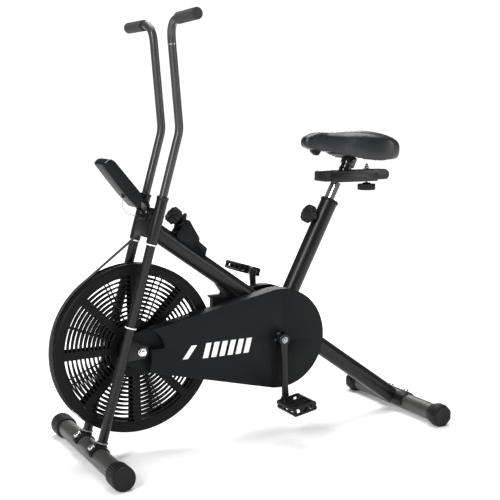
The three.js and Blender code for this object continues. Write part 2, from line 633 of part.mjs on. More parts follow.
const crank = group(CRANK.x, 0, CRANK.z);
const CHAINRING = { radius: 85, thick: 4, hub: 20 };
const nutStart = CRANK.armY + CRANK.armThick / 2 + GAP;
const ringLow = SPROCKET_Y - CHAINRING.thick / 2;
const ringHigh = SPROCKET_Y + CHAINRING.thick / 2;
add('crank_spindle', turned([
  [0, -nutStart - 8], [10, -nutStart - 6], [10, -nutStart], [CRANK.spindle, -nutStart],
  [CRANK.spindle, ringLow], [CHAINRING.radius, ringLow], [CHAINRING.radius, ringHigh],
  [CHAINRING.hub, ringHigh], [CHAINRING.hub, -shellHalf - 1.5], [CRANK.spindle, -shellHalf - 1.5],
  [CRANK.spindle, nutStart], [10, nutStart], [10, nutStart + 6], [0, nutStart + 8],
], 20), steel, crank);

// A crank arm from the spindle to its pedal, with the pedal's own spindle pressed in.
const PEDAL = { inner: 112, outer: 205, halfLength: 37, halfHeight: 12.5, spindle: 6 };
function crankArm(side, down) {
  const [root, tip] = [17, 13];
  const shape = new THREE.Shape();
  shape.moveTo(-root, 0);
  shape.absarc(0, 0, root, Math.PI, 2 * Math.PI * 0.999, false);
  shape.lineTo(tip, CRANK.length);
  shape.absarc(0, CRANK.length, tip, 0, Math.PI, false);
  const yLow = side * CRANK.armY - CRANK.armThick / 2;
  const arm = plate(shape, yLow, yLow + CRANK.armThick);
  const pedalStart = V(0, side * CRANK.armY, CRANK.length);
  const pedalEnd = V(0, side * (PEDAL.outer - 6), CRANK.length);
  const bore = rod(V(0, yLow - 5, 0), V(0, yLow + CRANK.armThick + 5, 0), CRANK.spindle + GAP, 20);
  const full = cut(join(arm, rod(pedalStart, pedalEnd, PEDAL.spindle, 14)), bore);
  return down ? full.rotateX(Math.PI).scale(1, -1, 1) : full;
}

// A platform pedal with an open window on each side of its spindle barrel.
function pedal(side) {
  const outline = [
    [-PEDAL.halfLength, -8], [-PEDAL.halfLength + 5, -PEDAL.halfHeight], [PEDAL.halfLength - 5, -PEDAL.halfHeight],
    [PEDAL.halfLength, -8], [PEDAL.halfLength, 8], [PEDAL.halfLength - 5, PEDAL.halfHeight],
    [-PEDAL.halfLength + 5, PEDAL.halfHeight], [-PEDAL.halfLength, 8],
  ];
  const [low, high] = side < 0 ? [-PEDAL.outer, -PEDAL.inner] : [PEDAL.inner, PEDAL.outer];
  const windows = [];
  const middle = (low + high) / 2;
  for (const x of [-1, 1]) {
    for (const y of [-1, 1]) {
      const [x0, x1] = x < 0 ? [-28, -13] : [13, 28];
      const [y0, y1] = y < 0 ? [low + 11, middle - 4] : [middle + 4, high - 11];
      windows.push(box(x0, x1, y0, y1, -30, 30));
    }
  }
  const spindleEnd = side * (PEDAL.outer - 5);
  const bore = rod(V(0, side * 90, 0), V(0, spindleEnd, 0), PEDAL.spindle + 0.4, 14);
  return cut(plate(outline, low, high, 2), bore, ...windows);
}

for (const [side, s] of SIDES) {
  const down = s < 0;
  add(`crank_arm_${side}`, crankArm(s, down), framePaint, crank);
  const pedalMesh = add(`pedal_${side}`, pedal(s), capPlastic, crank);
  pedalMesh.position.z = down ? -CRANK.length : CRANK.length;
  pedalMesh.rotation.y = down ? -10 * RAD : 17 * RAD;
}

// ---------------------------------------------------------------- fan wheel and its drive
const wheel = group(WHEEL.x, 0, WHEEL.z);
const half = WHEEL.halfWidth;
add('fan_rim', turned([
  [WHEEL.rimInner, -half], [WHEEL.radius - 3, -half], [WHEEL.radius, -half + 4], [WHEEL.radius, half - 4],
  [WHEEL.radius - 3, half], [WHEEL.rimInner, half],
  [WHEEL.rimInner, -half],
], 32), fanPlastic, wheel);

const ringProfile = (inner, outer, low, high) => [
  [inner, low], [outer, low], [outer, high], [inner, high], [inner, low],
];
const screenThick = 3.5;
for (const [side, s] of SIDES) {
  const [low, high] = s < 0 ? [-half, -half + screenThick] : [half - screenThick, half];
  const screenOuter = WHEEL.rimInner - GAP;
  const ribs = Array.from({ length: 8 }, (_, i) =>
    box(WHEEL.hubRadius - 6, screenOuter - 5, low, high, -9, 9).rotateY(i * Math.PI / 4));
  add(`fan_screen_${side}`, join(
    turned(ringProfile(12.8, WHEEL.hubRadius, low, high), 20),
    turned(ringProfile(screenOuter - 8, screenOuter, low, high), 32),
    ...ribs,
  ), fanPlastic, wheel);
}

const innerHalf = half - screenThick - GAP;
const hubBoss = 12.4;
const blades = Array.from({ length: 8 }, (_, i) =>
  box(38, WHEEL.rimInner - 2, -innerHalf + 0.5, innerHalf - 0.5, -1.5, 1.5).rotateY(i * Math.PI / 4));
add('fan_rotor', join(
  turned([
    [AXLE.radius + 0.5, -41], [hubBoss, -41], [hubBoss, -innerHalf], [40, -innerHalf], [40, innerHalf],
    [AXLE.radius + 0.5, innerHalf], [AXLE.radius + 0.5, -41],
  ], 16),
  ...blades,
), fanPlastic, wheel);
add('sprocket', turned([
  [hubBoss + GAP, SPROCKET_Y - 2], [29, SPROCKET_Y - 2], [29, SPROCKET_Y + 2], [hubBoss + GAP, SPROCKET_Y + 2],
  [hubBoss + GAP, SPROCKET_Y - 2],
], 16), steel, wheel);

const nutFace = FORK.y + 2.5 + GAP;
add('axle', turned([
  [0, -AXLE.halfLength - 4], [AXLE.radius, -AXLE.halfLength - 4], [AXLE.radius, -AXLE.halfLength], [11, -AXLE.halfLength],
  [11, -nutFace], [AXLE.radius, -nutFace], [AXLE.radius, nutFace], [11, nutFace], [11, AXLE.halfLength],
  [AXLE.radius, AXLE.halfLength], [AXLE.radius, AXLE.halfLength + 4], [0, AXLE.halfLength + 4],
], 12), chrome, wheel);

// The chain runs as one band round the sprocket and the chainring.
const chainOutline = (offset) => twoCircleOutline(29.4 + offset, CHAINRING.radius + 0.6 + offset, 12);
const chainLoop = new THREE.Shape(chainOutline(7).map(([x, z]) => new THREE.Vector2(x, z)));
chainLoop.holes.push(new THREE.Path(chainOutline(0.4).map(([x, z]) => new THREE.Vector2(x, z))));
add('chain', plate(chainLoop, SPROCKET_Y - 3, SPROCKET_Y + 3), chainSteel);

// ---------------------------------------------------------------- covers
const scoop = cut(
  rod(V(WHEEL.x, -100, WHEEL.z), V(WHEEL.x, COVER.noseY, WHEEL.z), 62, 30),
  box(152, 200, -101, COVER.noseY + 1, 220, 299),
);
const noseOutline = twoCircleOutline(COVER.frontRadius, COVER.rearRadius, 12);
const innerOutline = twoCircleOutline(COVER.frontRadius - COVER.wall, COVER.rearRadius - COVER.wall, 12);
const scoopWide = rod(
  V(WHEEL.x, -100, WHEEL.z), V(WHEEL.x, COVER.noseY + COVER.wall, WHEEL.z), 62 + COVER.wall, 30);
const throughHole = (x, z, radius, yLow, yHigh) => rod(V(x, yLow, z), V(x, yHigh, z), radius, 16);
add('cover_left', cut(
  plate(noseOutline, COVER.faceY, COVER.backY),
  scoop,
  cut(plate(innerOutline, COVER.faceY + COVER.wall, COVER.backY + 5), scoopWide),
  throughHole(CRANK.x, CRANK.z, 15, -90, -10),
  throughHole(WHEEL.x, WHEEL.z, 14, -90, -10),
), blackPlastic);

const backOutline = twoCircleOutline(
  COVER.frontRadius - COVER.wall - GAP - 0.2, COVER.rearRadius - COVER.wall - GAP - 0.2, 12);
add('cover_back', cut(
  plate(backOutline, COVER.backY - 2.2, COVER.backY),
  throughHole(CRANK.x, CRANK.z, 23, -90, -10),
  throughHole(WHEEL.x, WHEEL.z, 16, -90, -10),
), blackPlastic);

const RIGHT_COVER = { radius: 140, back: 26, face: 60, bevel: 6 };
add('cover_right', turned([
  [15, RIGHT_COVER.face], [RIGHT_COVER.radius - RIGHT_COVER.bevel, RIGHT_COVER.face],
  [RIGHT_COVER.radius, RIGHT_COVER.face - RIGHT_COVER.bevel], [RIGHT_COVER.radius, RIGHT_COVER.back],
  [RIGHT_COVER.radius - COVER.wall, RIGHT_COVER.back],
  [RIGHT_COVER.radius - RIGHT_COVER.bevel, RIGHT_COVER.face - COVER.wall],
  [30, RIGHT_COVER.face - COVER.wall], [30, RIGHT_COVER.back], [15, RIGHT_COVER.back],
  [15, RIGHT_COVER.face],
], 30), blackPlastic, crank);

// ---------------------------------------------------------------- brake strap and tension unit
const STRAP = { inner: 230, thick: 1.6, halfWidth: 8, step: 8 };
const strapTop = V(146, 0, 597);
const strapEnd = V(360, 0, 408);

function strapPath(radius) {
  const centre = V(WHEEL.x, 0, WHEEL.z);
  const tangentAngle = (point, turn) => {
    const toPoint = point.clone().sub(centre);
    return Math.atan2(toPoint.z, toPoint.x) + turn * Math.acos(STRAP.inner / toPoint.length());
  };
  const rearAngle = tangentAngle(strapEnd, -1);
  const frontAngle = tangentAngle(strapTop, 1) - 2 * Math.PI;
  const count = Math.round((rearAngle - frontAngle) / (STRAP.step * RAD));
  const points = [];
  const outward = (angle, shift, point) => [
    point.x + shift * Math.cos(angle), point.z + shift * Math.sin(angle)];
  points.push(outward(rearAngle, radius - STRAP.inner, strapEnd));
  for (let i = 0; i <= count; i += 1) {
    const angle = rearAngle + (frontAngle - rearAngle) * i / count;
    points.push([centre.x + radius * Math.cos(angle), centre.z + radius * Math.sin(angle)]);
  }
  points.push(outward(frontAngle, radius - STRAP.inner, strapTop));
  return points;
}
const strapOutline = [...strapPath(STRAP.inner), ...strapPath(STRAP.inner + STRAP.thick).reverse()];
add('brake_strap', plate(strapOutline, -STRAP.halfWidth, STRAP.halfWidth), strapCloth);

const strapBracketOutline = [
  [352, 409.5], [363, 409.5], [363, 403], [404, 400], [452, 391], [475, 395], [440, 428], [402, 446],
  [374, 456], [371, 449], [391, 420], [385, 417], [352, 417],
];
add('strap_bracket', cut(plate(strapBracketOutline, -9, 9), beamSpace), framePaint);

const TENSION = { x: 269, z: 626, axis: V(-0.75, 0, 0.66).normalize() };
const housingOutline = [
  [246, 570], [249, 595], [257, 606], [280, 633], [289, 629], [295, 617], [317, 580.5], [314, 572], [338, 552.5],
  [330, 515],
];
const tensionSeat = V(TENSION.x, 0, TENSION.z);
const tensionAt = (distance) => tensionSeat.clone().addScaledVector(TENSION.axis, distance);
const seatPlate = new THREE.BoxGeometry(42, 8, 40);
seatPlate.applyQuaternion(new THREE.Quaternion().setFromUnitVectors(V(0, 1, 0), TENSION.axis));
seatPlate.translate(TENSION.x, 0, TENSION.z);
add('tension_housing', cut(
  join(plate(housingOutline, -23, 23, 2), seatPlate, rod(tensionAt(-20), tensionAt(0), 14, 16)),
  beamSpace,
  rod(tensionAt(-12), tensionAt(10), 4.3, 12),
), blackPlastic);
const tensionKnob = add('tension_knob', knob(23, 8, 2.5, 8, 33, 4, 14), capPlastic);
tensionKnob.position.copy(tensionAt(5.5));
tensionKnob.quaternion.setFromUnitVectors(V(0, 1, 0), TENSION.axis);

export default bike;
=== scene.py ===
"""Looks for the air bike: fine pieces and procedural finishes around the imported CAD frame."""

import math

import bmesh
import bpy
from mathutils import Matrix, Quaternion, Vector


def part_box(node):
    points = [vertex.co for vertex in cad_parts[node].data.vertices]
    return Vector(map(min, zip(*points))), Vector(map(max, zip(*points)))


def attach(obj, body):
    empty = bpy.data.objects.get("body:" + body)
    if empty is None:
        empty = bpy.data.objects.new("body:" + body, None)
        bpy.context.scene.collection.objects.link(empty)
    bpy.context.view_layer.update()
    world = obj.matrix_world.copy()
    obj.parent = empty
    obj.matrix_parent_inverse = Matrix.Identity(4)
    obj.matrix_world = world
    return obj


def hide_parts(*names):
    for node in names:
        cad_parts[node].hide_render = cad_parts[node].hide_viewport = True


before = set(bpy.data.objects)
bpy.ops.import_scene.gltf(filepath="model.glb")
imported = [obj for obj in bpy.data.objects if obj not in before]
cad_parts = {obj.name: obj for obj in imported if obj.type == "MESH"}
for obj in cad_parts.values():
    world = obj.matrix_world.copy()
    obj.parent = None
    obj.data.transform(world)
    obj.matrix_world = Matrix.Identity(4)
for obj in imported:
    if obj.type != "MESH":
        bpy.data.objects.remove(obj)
SCENE = bpy.context.scene
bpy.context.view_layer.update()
SIDES = (("left", -1), ("right", 1))

# ---- stations, in millimetres from the front stabiliser
_low, _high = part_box("front_stabiliser")
STATION_ZERO = (_low.x + _high.x) / 2
STABILISER_Z = 32
FORK_Y = 58.3
WHEEL = (128, 294)
CRANK = (545, 286)
CRANK_LENGTH = 170
REAR_X = 1006
LEG_FOOT = Vector((12, 0, 59))
LEG_TOP = Vector((194.3, 0, 700.5))
BEAM_START, BEAM_END = 178, 1000
BEAM_POINT = Vector((213, 0, 590.7))
BEAM_SLOPE = math.radians(35.3)
SEAT_FOOT = Vector((578.5, 0, 332))
SEAT_TOP = Vector((749, 0, 659.4))
RIM_INNER = 204
WHEEL_HALF = 22
HUB_RADIUS = 76

X_AXIS = Vector((1, 0, 0))
Y_AXIS = Vector((0, 1, 0))
Z_AXIS = Vector((0, 0, 1))


def spot(x, y=0.0, z=0.0):
    """A point given in the bike's stations, as a point of the row frame in metres."""
    return Vector((STATION_ZERO + x / 1000, y / 1000, z / 1000))


def spot_of(v):
    return spot(v.x, v.y, v.z)


WHEEL_AT = spot(WHEEL[0], 0, WHEEL[1])
CRANK_AT = spot(CRANK[0], 0, CRANK[1])


# ---- finishes
def set_sockets(node, values):
    """Sets constants on a node's sockets, with underscores for the spaces in their names."""
    for socket, value in values.items():
        node.inputs[socket.replace("_", " ")].default_value = value


def add_node(tree, kind, **values):
    node = tree.nodes.new("ShaderNode" + kind)
    set_sockets(node, values)
    return node


def shader(name, color, rough, metal=0.0, **options):
    """A principled finish with mottled colour, uneven roughness and a fine bump, in object coordinates."""
    mat = bpy.data.materials.new(name)
    mat.use_nodes = True
    tree = mat.node_tree
    link = tree.links.new
    bsdf = tree.nodes["Principled BSDF"]
    set_sockets(bsdf, {
        "Metallic": metal,
        "Specular_IOR_Level": options.get("specular", 0.5),
        "Coat_Weight": options.get("coat", 0.0),
        "Coat_Roughness": options.get("coat_rough", 0.2),
        "Sheen_Weight": options.get("sheen", 0.0),
        "Sheen_Roughness": 0.4,
    })

    coords = add_node(tree, "TexCoord")
    broad = add_node(tree, "TexNoise", Scale=14.0, Detail=5.0)
    link(coords.outputs["Object"], broad.inputs["Vector"])

    vary = options.get("vary", 0.25)
    mix = tree.nodes.new("ShaderNodeMix")
    mix.data_type = "RGBA"
    mix.inputs["A"].default_value = (*[c * (1 - vary) for c in color], 1)
    mix.inputs["B"].default_value = (*[min(1.0, c * (1 + vary)) for c in color], 1)
    link(broad.outputs["Fac"], mix.inputs["Factor"])
    link(mix.outputs["Result"], bsdf.inputs["Base Color"])

    swing = options.get("swing", 0.05)
    rough_range = add_node(
        tree, "MapRange", From_Min=0.3, From_Max=0.7, To_Min=max(0.02, rough - swing),
        To_Max=min(1.0, rough + swing))
    link(broad.outputs["Fac"], rough_range.inputs["Value"])
    link(rough_range.outputs["Result"], bsdf.inputs["Roughness"])

    stretch = add_node(tree, "Mapping", Scale=options.get("stretch", (1, 1, 1)))
    link(coords.outputs["Object"], stretch.inputs["Vector"])
    scale = options.get("grain", 600.0)
    if options.get("cells"):
        grain = add_node(tree, "TexVoronoi", Scale=scale)
        grain.feature = "SMOOTH_F1"
        height = grain.outputs["Distance"]
    else:
        grain = add_node(tree, "TexNoise", Scale=scale, Detail=3.0)
        height = grain.outputs["Fac"]
    link(stretch.outputs["Vector"], grain.inputs["Vector"])
    bump = add_node(
        tree, "Bump", Strength=options.get("bump", 0.15), Distance=options.get("depth", 0.0006))
    link(height, bump.inputs["Height"])
    link(bump.outputs["Normal"], bsdf.inputs["Normal"])
    return mat


def weave_shader(name, color, rough):
    """A flat woven strap: crossing waves of thread for the bump."""
    mat = shader(name, color, rough, vary=0.3, bump=0.1)
    tree = mat.node_tree
    coords = add_node(tree, "TexCoord")
    cross = add_node(tree, "Math")
    cross.operation = "MULTIPLY"
    for number, direction in enumerate(("X", "Y")):
        wave = add_node(tree, "TexWave", Scale=300.0)
        wave.bands_direction = direction
        tree.links.new(coords.outputs["Object"], wave.inputs["Vector"])
        tree.links.new(wave.outputs["Fac"], cross.inputs[number])
    bump = add_node(tree, "Bump", Strength=0.4, Distance=0.0005)
    tree.links.new(cross.outputs["Value"], bump.inputs["Height"])
    tree.links.new(bump.outputs["Normal"], tree.nodes["Principled BSDF"].inputs["Normal"])
    return mat


FRAME_PAINT = shader(
    "frame_paint", (0.005, 0.0052, 0.0057), 0.34, 0.0, vary=0.25, grain=900, bump=0.12, specular=0.3)
TUBE_PAINT = shader(
    "tube_paint", (0.042, 0.043, 0.045), 0.33, 0.35, vary=0.15, grain=900, bump=0.1, specular=0.45)
FOOT_PAINT = shader(
    "foot_paint", (0.058, 0.058, 0.054), 0.4, 0.3, vary=0.2, grain=700, bump=0.12, slot="tube_paint")
PLASTIC = shader(
    "black_plastic", (0.0042, 0.0048, 0.0056), 0.46, vary=0.15, grain=1300, bump=0.12, specular=0.13)
CAP = shader("cap_plastic", (0.005, 0.0052, 0.0058), 0.5, vary=0.2, grain=1000, bump=0.2, specular=0.22)
FAN = shader("fan_plastic", (0.003, 0.0032, 0.0037), 0.42, vary=0.2, grain=1200, bump=0.1, specular=0.13)
FOAM = shader(
    "grip_foam", (0.024, 0.024, 0.026), 0.9, vary=0.3, grain=700, bump=0.6, cells=True, sheen=0.04,
    specular=0.3, slot="foam")
WHITE = shader("white_plastic", (0.82, 0.82, 0.8), 0.45, vary=0.06, grain=900, bump=0.08)
CHROME = shader("chrome", (0.78, 0.79, 0.81), 0.1, 1.0, vary=0.04, swing=0.03, grain=500, bump=0.02)
STEEL = shader("steel", (0.35, 0.36, 0.37), 0.32, 0.9, vary=0.15, grain=500, bump=0.08, stretch=(1, 8, 1))
ARM = shader(
    "arm_paint", (0.005, 0.005, 0.0055), 0.35, 0.0, vary=0.2, grain=900, bump=0.1, specular=0.3,
    slot="steel")
VINYL = shader(
    "saddle_vinyl", (0.0085, 0.009, 0.0105), 0.36, vary=0.2, grain=650, bump=0.22, cells=True,
    depth=0.0004, sheen=0.03, specular=0.42, slot="vinyl")
LENS = shader("lens", (0.05, 0.058, 0.055), 0.12, vary=0.1, bump=0.02, coat=0.6, coat_rough=0.05)
LCD = shader("lcd", (0.3, 0.34, 0.29), 0.35, vary=0.05, grain=900, bump=0.05, slot="lens")
BUTTON = shader("button_plastic", (0.28, 0.02, 0.02), 0.4, vary=0.1, bump=0.05, slot="button")
# A darker copy of the white band finish, used on the bands at the foot of the legs.
FOOT_BAND_WHITE = shader(
    "foot_band_white", (0.22, 0.22, 0.21), 0.5, vary=0.3, grain=900, bump=0.1, slot="white_plastic")
GLOSS_PAINT = shader(
    "gloss_paint", (0.006, 0.006, 0.0065), 0.16, vary=0.2, grain=700, bump=0.04, specular=0.5,
    slot="frame_paint")
WIRE = shader("wire_jacket", (0.42, 0.42, 0.41), 0.5, vary=0.08, bump=0.1, slot="wire")
STRAP = weave_shader("strap_cloth", (0.016, 0.016, 0.017), 0.85)
DECAL = shader("decal_print", (0.8, 0.8, 0.8), 0.5, vary=0.04, bump=0.03, slot="white_plastic")


# ---- mesh building
AXIS_GAP = 0.02
HARD_EDGE = math.radians(35)


def around(origin, axis, side, height, angle, radius):
    """A point at a height and a radius, in millimetres, round an axis from an origin in metres."""
    turned = side * math.cos(angle) + axis.cross(side) * math.sin(angle)
    return origin + axis * (height / 1000) + turned * (radius / 1000)


def rod(radius, low, high):
    """The profile of a solid cylinder."""
    return [(0, low), (radius, low), (radius, high), (0, high)]


def pipe(inner, outer, low, high):
    """The profile of a hollow cylinder."""
    return [(inner, low), (outer, low), (outer, high), (inner, high), (inner, low)]


class Build:
    """Closed shells gathered into one mesh, in row-frame metres."""

    def __init__(self):
        self.verts = []
        self.faces = []

    def add(self, verts, faces):
        base = len(self.verts)
        self.verts.extend(verts)
        self.faces.extend([tuple(base + i for i in face) for face in faces])
        return self

    def loft(self, rings, closed=False):
        """Rings of points joined into a skin, with a face on each end unless it closes on itself."""
        count = len(rings[0])
        verts = [point for ring in rings for point in ring]
        faces = []
        last = len(rings) if closed else len(rings) - 1
        for i in range(last):
            j = (i + 1) % len(rings)
            for k in range(count):
                m = (k + 1) % count
                faces.append((i * count + k, i * count + m, j * count + m, j * count + k))
        if not closed:
            faces.append(tuple(range(count))[::-1])
            faces.append(tuple((len(rings) - 1) * count + k for k in range(count)))
        return self.add(verts, faces)

    def tube(self, points, radius, segments=28):
        """A round tube through points in metres, with its radius in millimetres."""
        points = [Vector(p) for p in points]
        side = (points[1] - points[0]).normalized().orthogonal().normalized()
        rings = []
        for i, point in enumerate(points):
            tangent = (points[min(i + 1, len(points) - 1)] - points[max(i - 1, 0)]).normalized()
            side = (side - tangent * side.dot(tangent)).normalized()
            up = tangent.cross(side)
            rings.append([
                point + (side * math.cos(a) + up * math.sin(a)) * (radius / 1000)
                for a in (2 * math.pi * k / segments for k in range(segments))
            ])
        return self.loft(rings)

    def turned(self, profile, origin, axis, segments=40):
        """A turned body: a profile of (radius, height) in millimetres, an origin in metres and an axis."""
        axis = Vector(axis).normalized()
        side = X_AXIS if abs(axis.dot(Y_AXIS)) > 0.99 else axis.orthogonal().normalized()
        angles = [2 * math.pi * k / segments for k in range(segments)]
        rings = [
            [around(origin, axis, side, height, angle, max(radius, AXIS_GAP)) for angle in angles]
            for radius, height in profile
        ]
        same = profile[0] == profile[-1]
        return self.loft(rings[:-1] if same else rings, closed=same)

    def prism(self, outline, low, high, place=spot):
        """An outline of (u, v) in millimetres, thick from low to high; place maps (u, w, v) to metres."""
        return self.loft([[place(u, w, v) for u, v in outline] for w in (low, high)])

    def box(self, x, y, z, place=spot):
        outline = [(x[0], z[0]), (x[1], z[0]), (x[1], z[1]), (x[0], z[1])]
        return self.prism(outline, y[0], y[1], place)

    def mesh(self, name, bevel=0.0, steps=2):
        """The shells as one mesh with its faces turned outwards and, with a bevel, rounded edges."""
        mesh = bpy.data.meshes.new(name)
        mesh.from_pydata([tuple(v) for v in self.verts], [], self.faces)
        bm = bmesh.new()
        bm.from_mesh(mesh)
        bmesh.ops.recalc_face_normals(bm, faces=bm.faces)
        if bevel:
            round_edges(bm, bevel, steps)
        bm.to_mesh(mesh)
        bm.free()
        return mesh


def round_edges(bm, width, steps):
    edges = [e for e in bm.edges if len(e.link_faces) == 2 and e.calc_face_angle(0) > HARD_EDGE]
    bmesh.ops.bevel(
        bm, geom=edges, offset=width / 1000, segments=steps, profile=0.5, affect="EDGES",
        clamp_overlap=True)


def shade(mesh, sharp=38):
    """Smooth shading, broken at edges sharper than an angle in degrees."""
    mesh.polygons.foreach_set("use_smooth", [True] * len(mesh.polygons))
    mesh.set_sharp_from_angle(angle=math.radians(sharp))


def piece(name, build, material, nodes=(), body="frame", bevel=0.0, steps=2, sharp=38):
    """Makes the object, gives it its finish and rides it on its body."""
    mesh = build.mesh(name, bevel, steps)
    shade(mesh, sharp)
    obj = bpy.data.objects.new(name, mesh)
    SCENE.collection.objects.link(obj)
    obj.data.materials.append(material)
    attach(obj, body)
    if nodes:
        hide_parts(*nodes)
    return obj


def bake_modifiers(obj):
    """Applies a piece's modifiers to its mesh."""
    depsgraph = bpy.context.evaluated_depsgraph_get()
    fresh = bpy.data.meshes.new_from_object(obj.evaluated_get(depsgraph))
    old = obj.data
    materials = list(old.materials)
    obj.modifiers.clear()
    obj.data = fresh
    fresh.name = obj.name
    if not fresh.materials:
        for material in materials:
            fresh.materials.append(material)
    bpy.data.meshes.remove(old)


def subtract(obj, *builds):
    """Cuts other shells out of a piece."""
    for build in builds:
        cutter = bpy.data.objects.new("cutter", build.mesh("cutter"))
        SCENE.collection.objects.link(cutter)
        modifier = obj.modifiers.new("cut", "BOOLEAN")
        modifier.operation = "DIFFERENCE"
        modifier.solver = "EXACT"
        modifier.object = cutter
        bake_modifiers(obj)
        bpy.data.objects.remove(cutter)


def soften(obj, width, steps=2):
    """Rounds the hard edges of a piece after it has been cut."""
    bm = bmesh.new()
    bm.from_mesh(obj.data)
    bmesh.ops.remove_doubles(bm, verts=bm.verts, dist=2e-5)
    round_edges(bm, width, steps)
    bm.to_mesh(obj.data)
    bm.free()
    shade(obj.data)


def spline(a, b, c, d, t):
    """A Catmull-Rom value between b and c."""
    return 0.5 * (
        2 * b + (c - a) * t + (2 * a - 5 * b + 4 * c - d) * t * t
        + (3 * b - a - 3 * c + d) * t ** 3)


def arc(x, z, radius, from_deg, to_deg, step=4):
    """Points of a circle in XZ between two angles."""
    count = max(1, round(abs(to_deg - from_deg) / step))
    angles = [math.radians(from_deg + (to_deg - from_deg) * i / count) for i in range(count + 1)]
    return [(x + radius * math.cos(a), z + radius * math.sin(a)) for a in angles]


def bent_path(corners, bends, arc_steps=14):
    """Straight runs joined by smooth bends, as points in the bike's stations."""
    points = [corners[0]]
    for corner, before, after, bend in zip(corners[1:-1], corners, corners[2:], bends):
        back = (before - corner).normalized()
        ahead = (after - corner).normalized()
        reach = bend / math.tan(back.angle(ahead) / 2)
        a, b = corner + back * reach, corner + ahead * reach
        for i in range(arc_steps + 1):
            t = i / arc_steps
            points.append(a * (1 - t) ** 2 + corner * 2 * t * (1 - t) + b * t * t)
    points.append(corners[-1])
    return points


# ---- camera, light and floor
CAMERA_AT = spot(-795, -2343, 904)
CAMERA_LOOK = Vector((0.4746, 0.8694, -0.1373))
camera_data = bpy.data.cameras.new("camera")
camera_data.sensor_width = 36
camera_data.lens = 68.63
camera = bpy.data.objects.new("camera", camera_data)
camera.location = CAMERA_AT
camera.rotation_euler = CAMERA_LOOK.to_track_quat("-Z", "Y").to_euler()
SCENE.collection.objects.link(camera)
SCENE.camera = camera


def area_light(name, at, aim, size, power):
    data = bpy.data.lights.new(name, "AREA")
    data.shape = "RECTANGLE"
    data.size, data.size_y = size
    data.energy = power
    light = bpy.data.objects.new(name, data)
    light.location = at
    light.rotation_euler = (Vector(aim) - Vector(at)).to_track_quat("-Z", "Y").to_euler()
    SCENE.collection.objects.link(light)


area_light("key", (-3.0, -2.0, 2.4), (0, 0, 0.5), (0.7, 2.4), 140)
area_light("fill", (2.6, -2.6, 1.6), (0, 0, 0.5), (0.6, 2.2), 34)
area_light("top", (0.2, 0.6, 3.2), (0, 0, 0.3), (2.2, 2.0), 105)
area_light("back", (1.6, 3.0, 2.0), (0, 0, 0.6), (1.6, 1.6), 45)

world = bpy.data.worlds.new("studio")
world.use_nodes = True
SCENE.world = world
sky = world.node_tree
background = sky.nodes["Background"]
background.inputs["Color"].default_value = (1, 1, 1, 1)
path = add_node(sky, "LightPath")
strength = add_node(sky, "MapRange", To_Min=0.16, To_Max=1.1)
sky.links.new(path.outputs["Is Camera Ray"], strength.inputs["Value"])
sky.links.new(strength.outputs["Result"], background.inputs["Strength"])

FLOOR_HALF = 14.0
floor_mesh = bpy.data.meshes.new("floor")
floor_mesh.from_pydata(
    [(x * FLOOR_HALF, y * FLOOR_HALF, 0) for x, y in ((-1, -1), (1, -1), (1, 1), (-1, 1))],
    [], [(0, 1, 2, 3)])
floor = bpy.data.objects.new("floor", floor_mesh)
SCENE.collection.objects.link(floor)
floor_mat = shader("floor_white", (0.93, 0.93, 0.93), 0.8, vary=0.01, bump=0.0, specular=0.1)
floor_tree = floor_mat.node_tree
floor_bsdf = floor_tree.nodes["Principled BSDF"]
floor_bsdf.inputs["Emission Color"].default_value = (1, 1, 1, 1)
floor_coords = add_node(floor_tree, "TexCoord")
reach = add_node(floor_tree, "VectorMath")
reach.operation = "LENGTH"
glow = add_node(floor_tree, "MapRange", From_Min=0.6, From_Max=2.6, To_Min=0.12, To_Max=1.0)
floor_tree.links.new(floor_coords.outputs["Object"], reach.inputs[0])
floor_tree.links.new(reach.outputs["Value"], glow.inputs["Value"])
floor_tree.links.new(glow.outputs["Result"], floor_bsdf.inputs["Emission Strength"])
floor_mesh.materials.append(floor_mat)
SCENE.view_settings.view_transform = "Standard"

# ---- sensor wire
WIRE_ROUTE = [
    (102.0, -10, 702.2), (100.0, -10, 692), (99.6, -10, 678), (104.5, -10, 665),
    (115, -10, 655), (126, -10, 651.5), (135.5, -10, 650.6),
]


def smooth_line(points, per_span):
    """A Catmull-Rom line through points."""
    points = [Vector(p) for p in points]
    padded = [2 * points[0] - points[1], *points, 2 * points[-1] - points[-2]]
    line = []
    for a, b, c, d in zip(padded, padded[1:], padded[2:], padded[3:]):
        for i in range(per_span):
            t = i / per_span
            line.append(spline(a, b, c, d, t))
    line.append(points[-1])
    return line


wire_path = [spot_of(p) for p in smooth_line(WIRE_ROUTE, 4)]
wire = piece(
    "sensor_lead", Build().tube(wire_path, 1.2, 12), WIRE, ["sensor_wire"])

# ---- floor stabilisers
for name, x, half in (("front", 0, 244), ("rear", REAR_X, 225)):
    ends = [spot(x, -half, STABILISER_Z), spot(x, half, STABILISER_Z)]
    tube = Build().turned(pipe(23, 25, 0, 2 * half), ends[0], Y_AXIS, 56)
    piece(f"{name}_foot_tube", tube, FOOT_PAINT, [f"{name}_stabiliser"])


def ribbed_cap(origin, outward, stations, ribs, depth, steps=6):
    """A cap whose skirt is ribbed; stations of (height, radius, share of rib depth) in millimetres."""
    count = ribs * steps
    rings = []
    for height, radius, share in stations:
        ring = []
        for i in range(count):
            r = radius - depth * share * (0.5 - 0.5 * math.cos(2 * math.pi * i / steps))
            ring.append(around(origin, outward, X_AXIS, height, 2 * math.pi * i / count + math.pi / ribs, r))
        rings.append(ring)
    return Build().loft(rings)


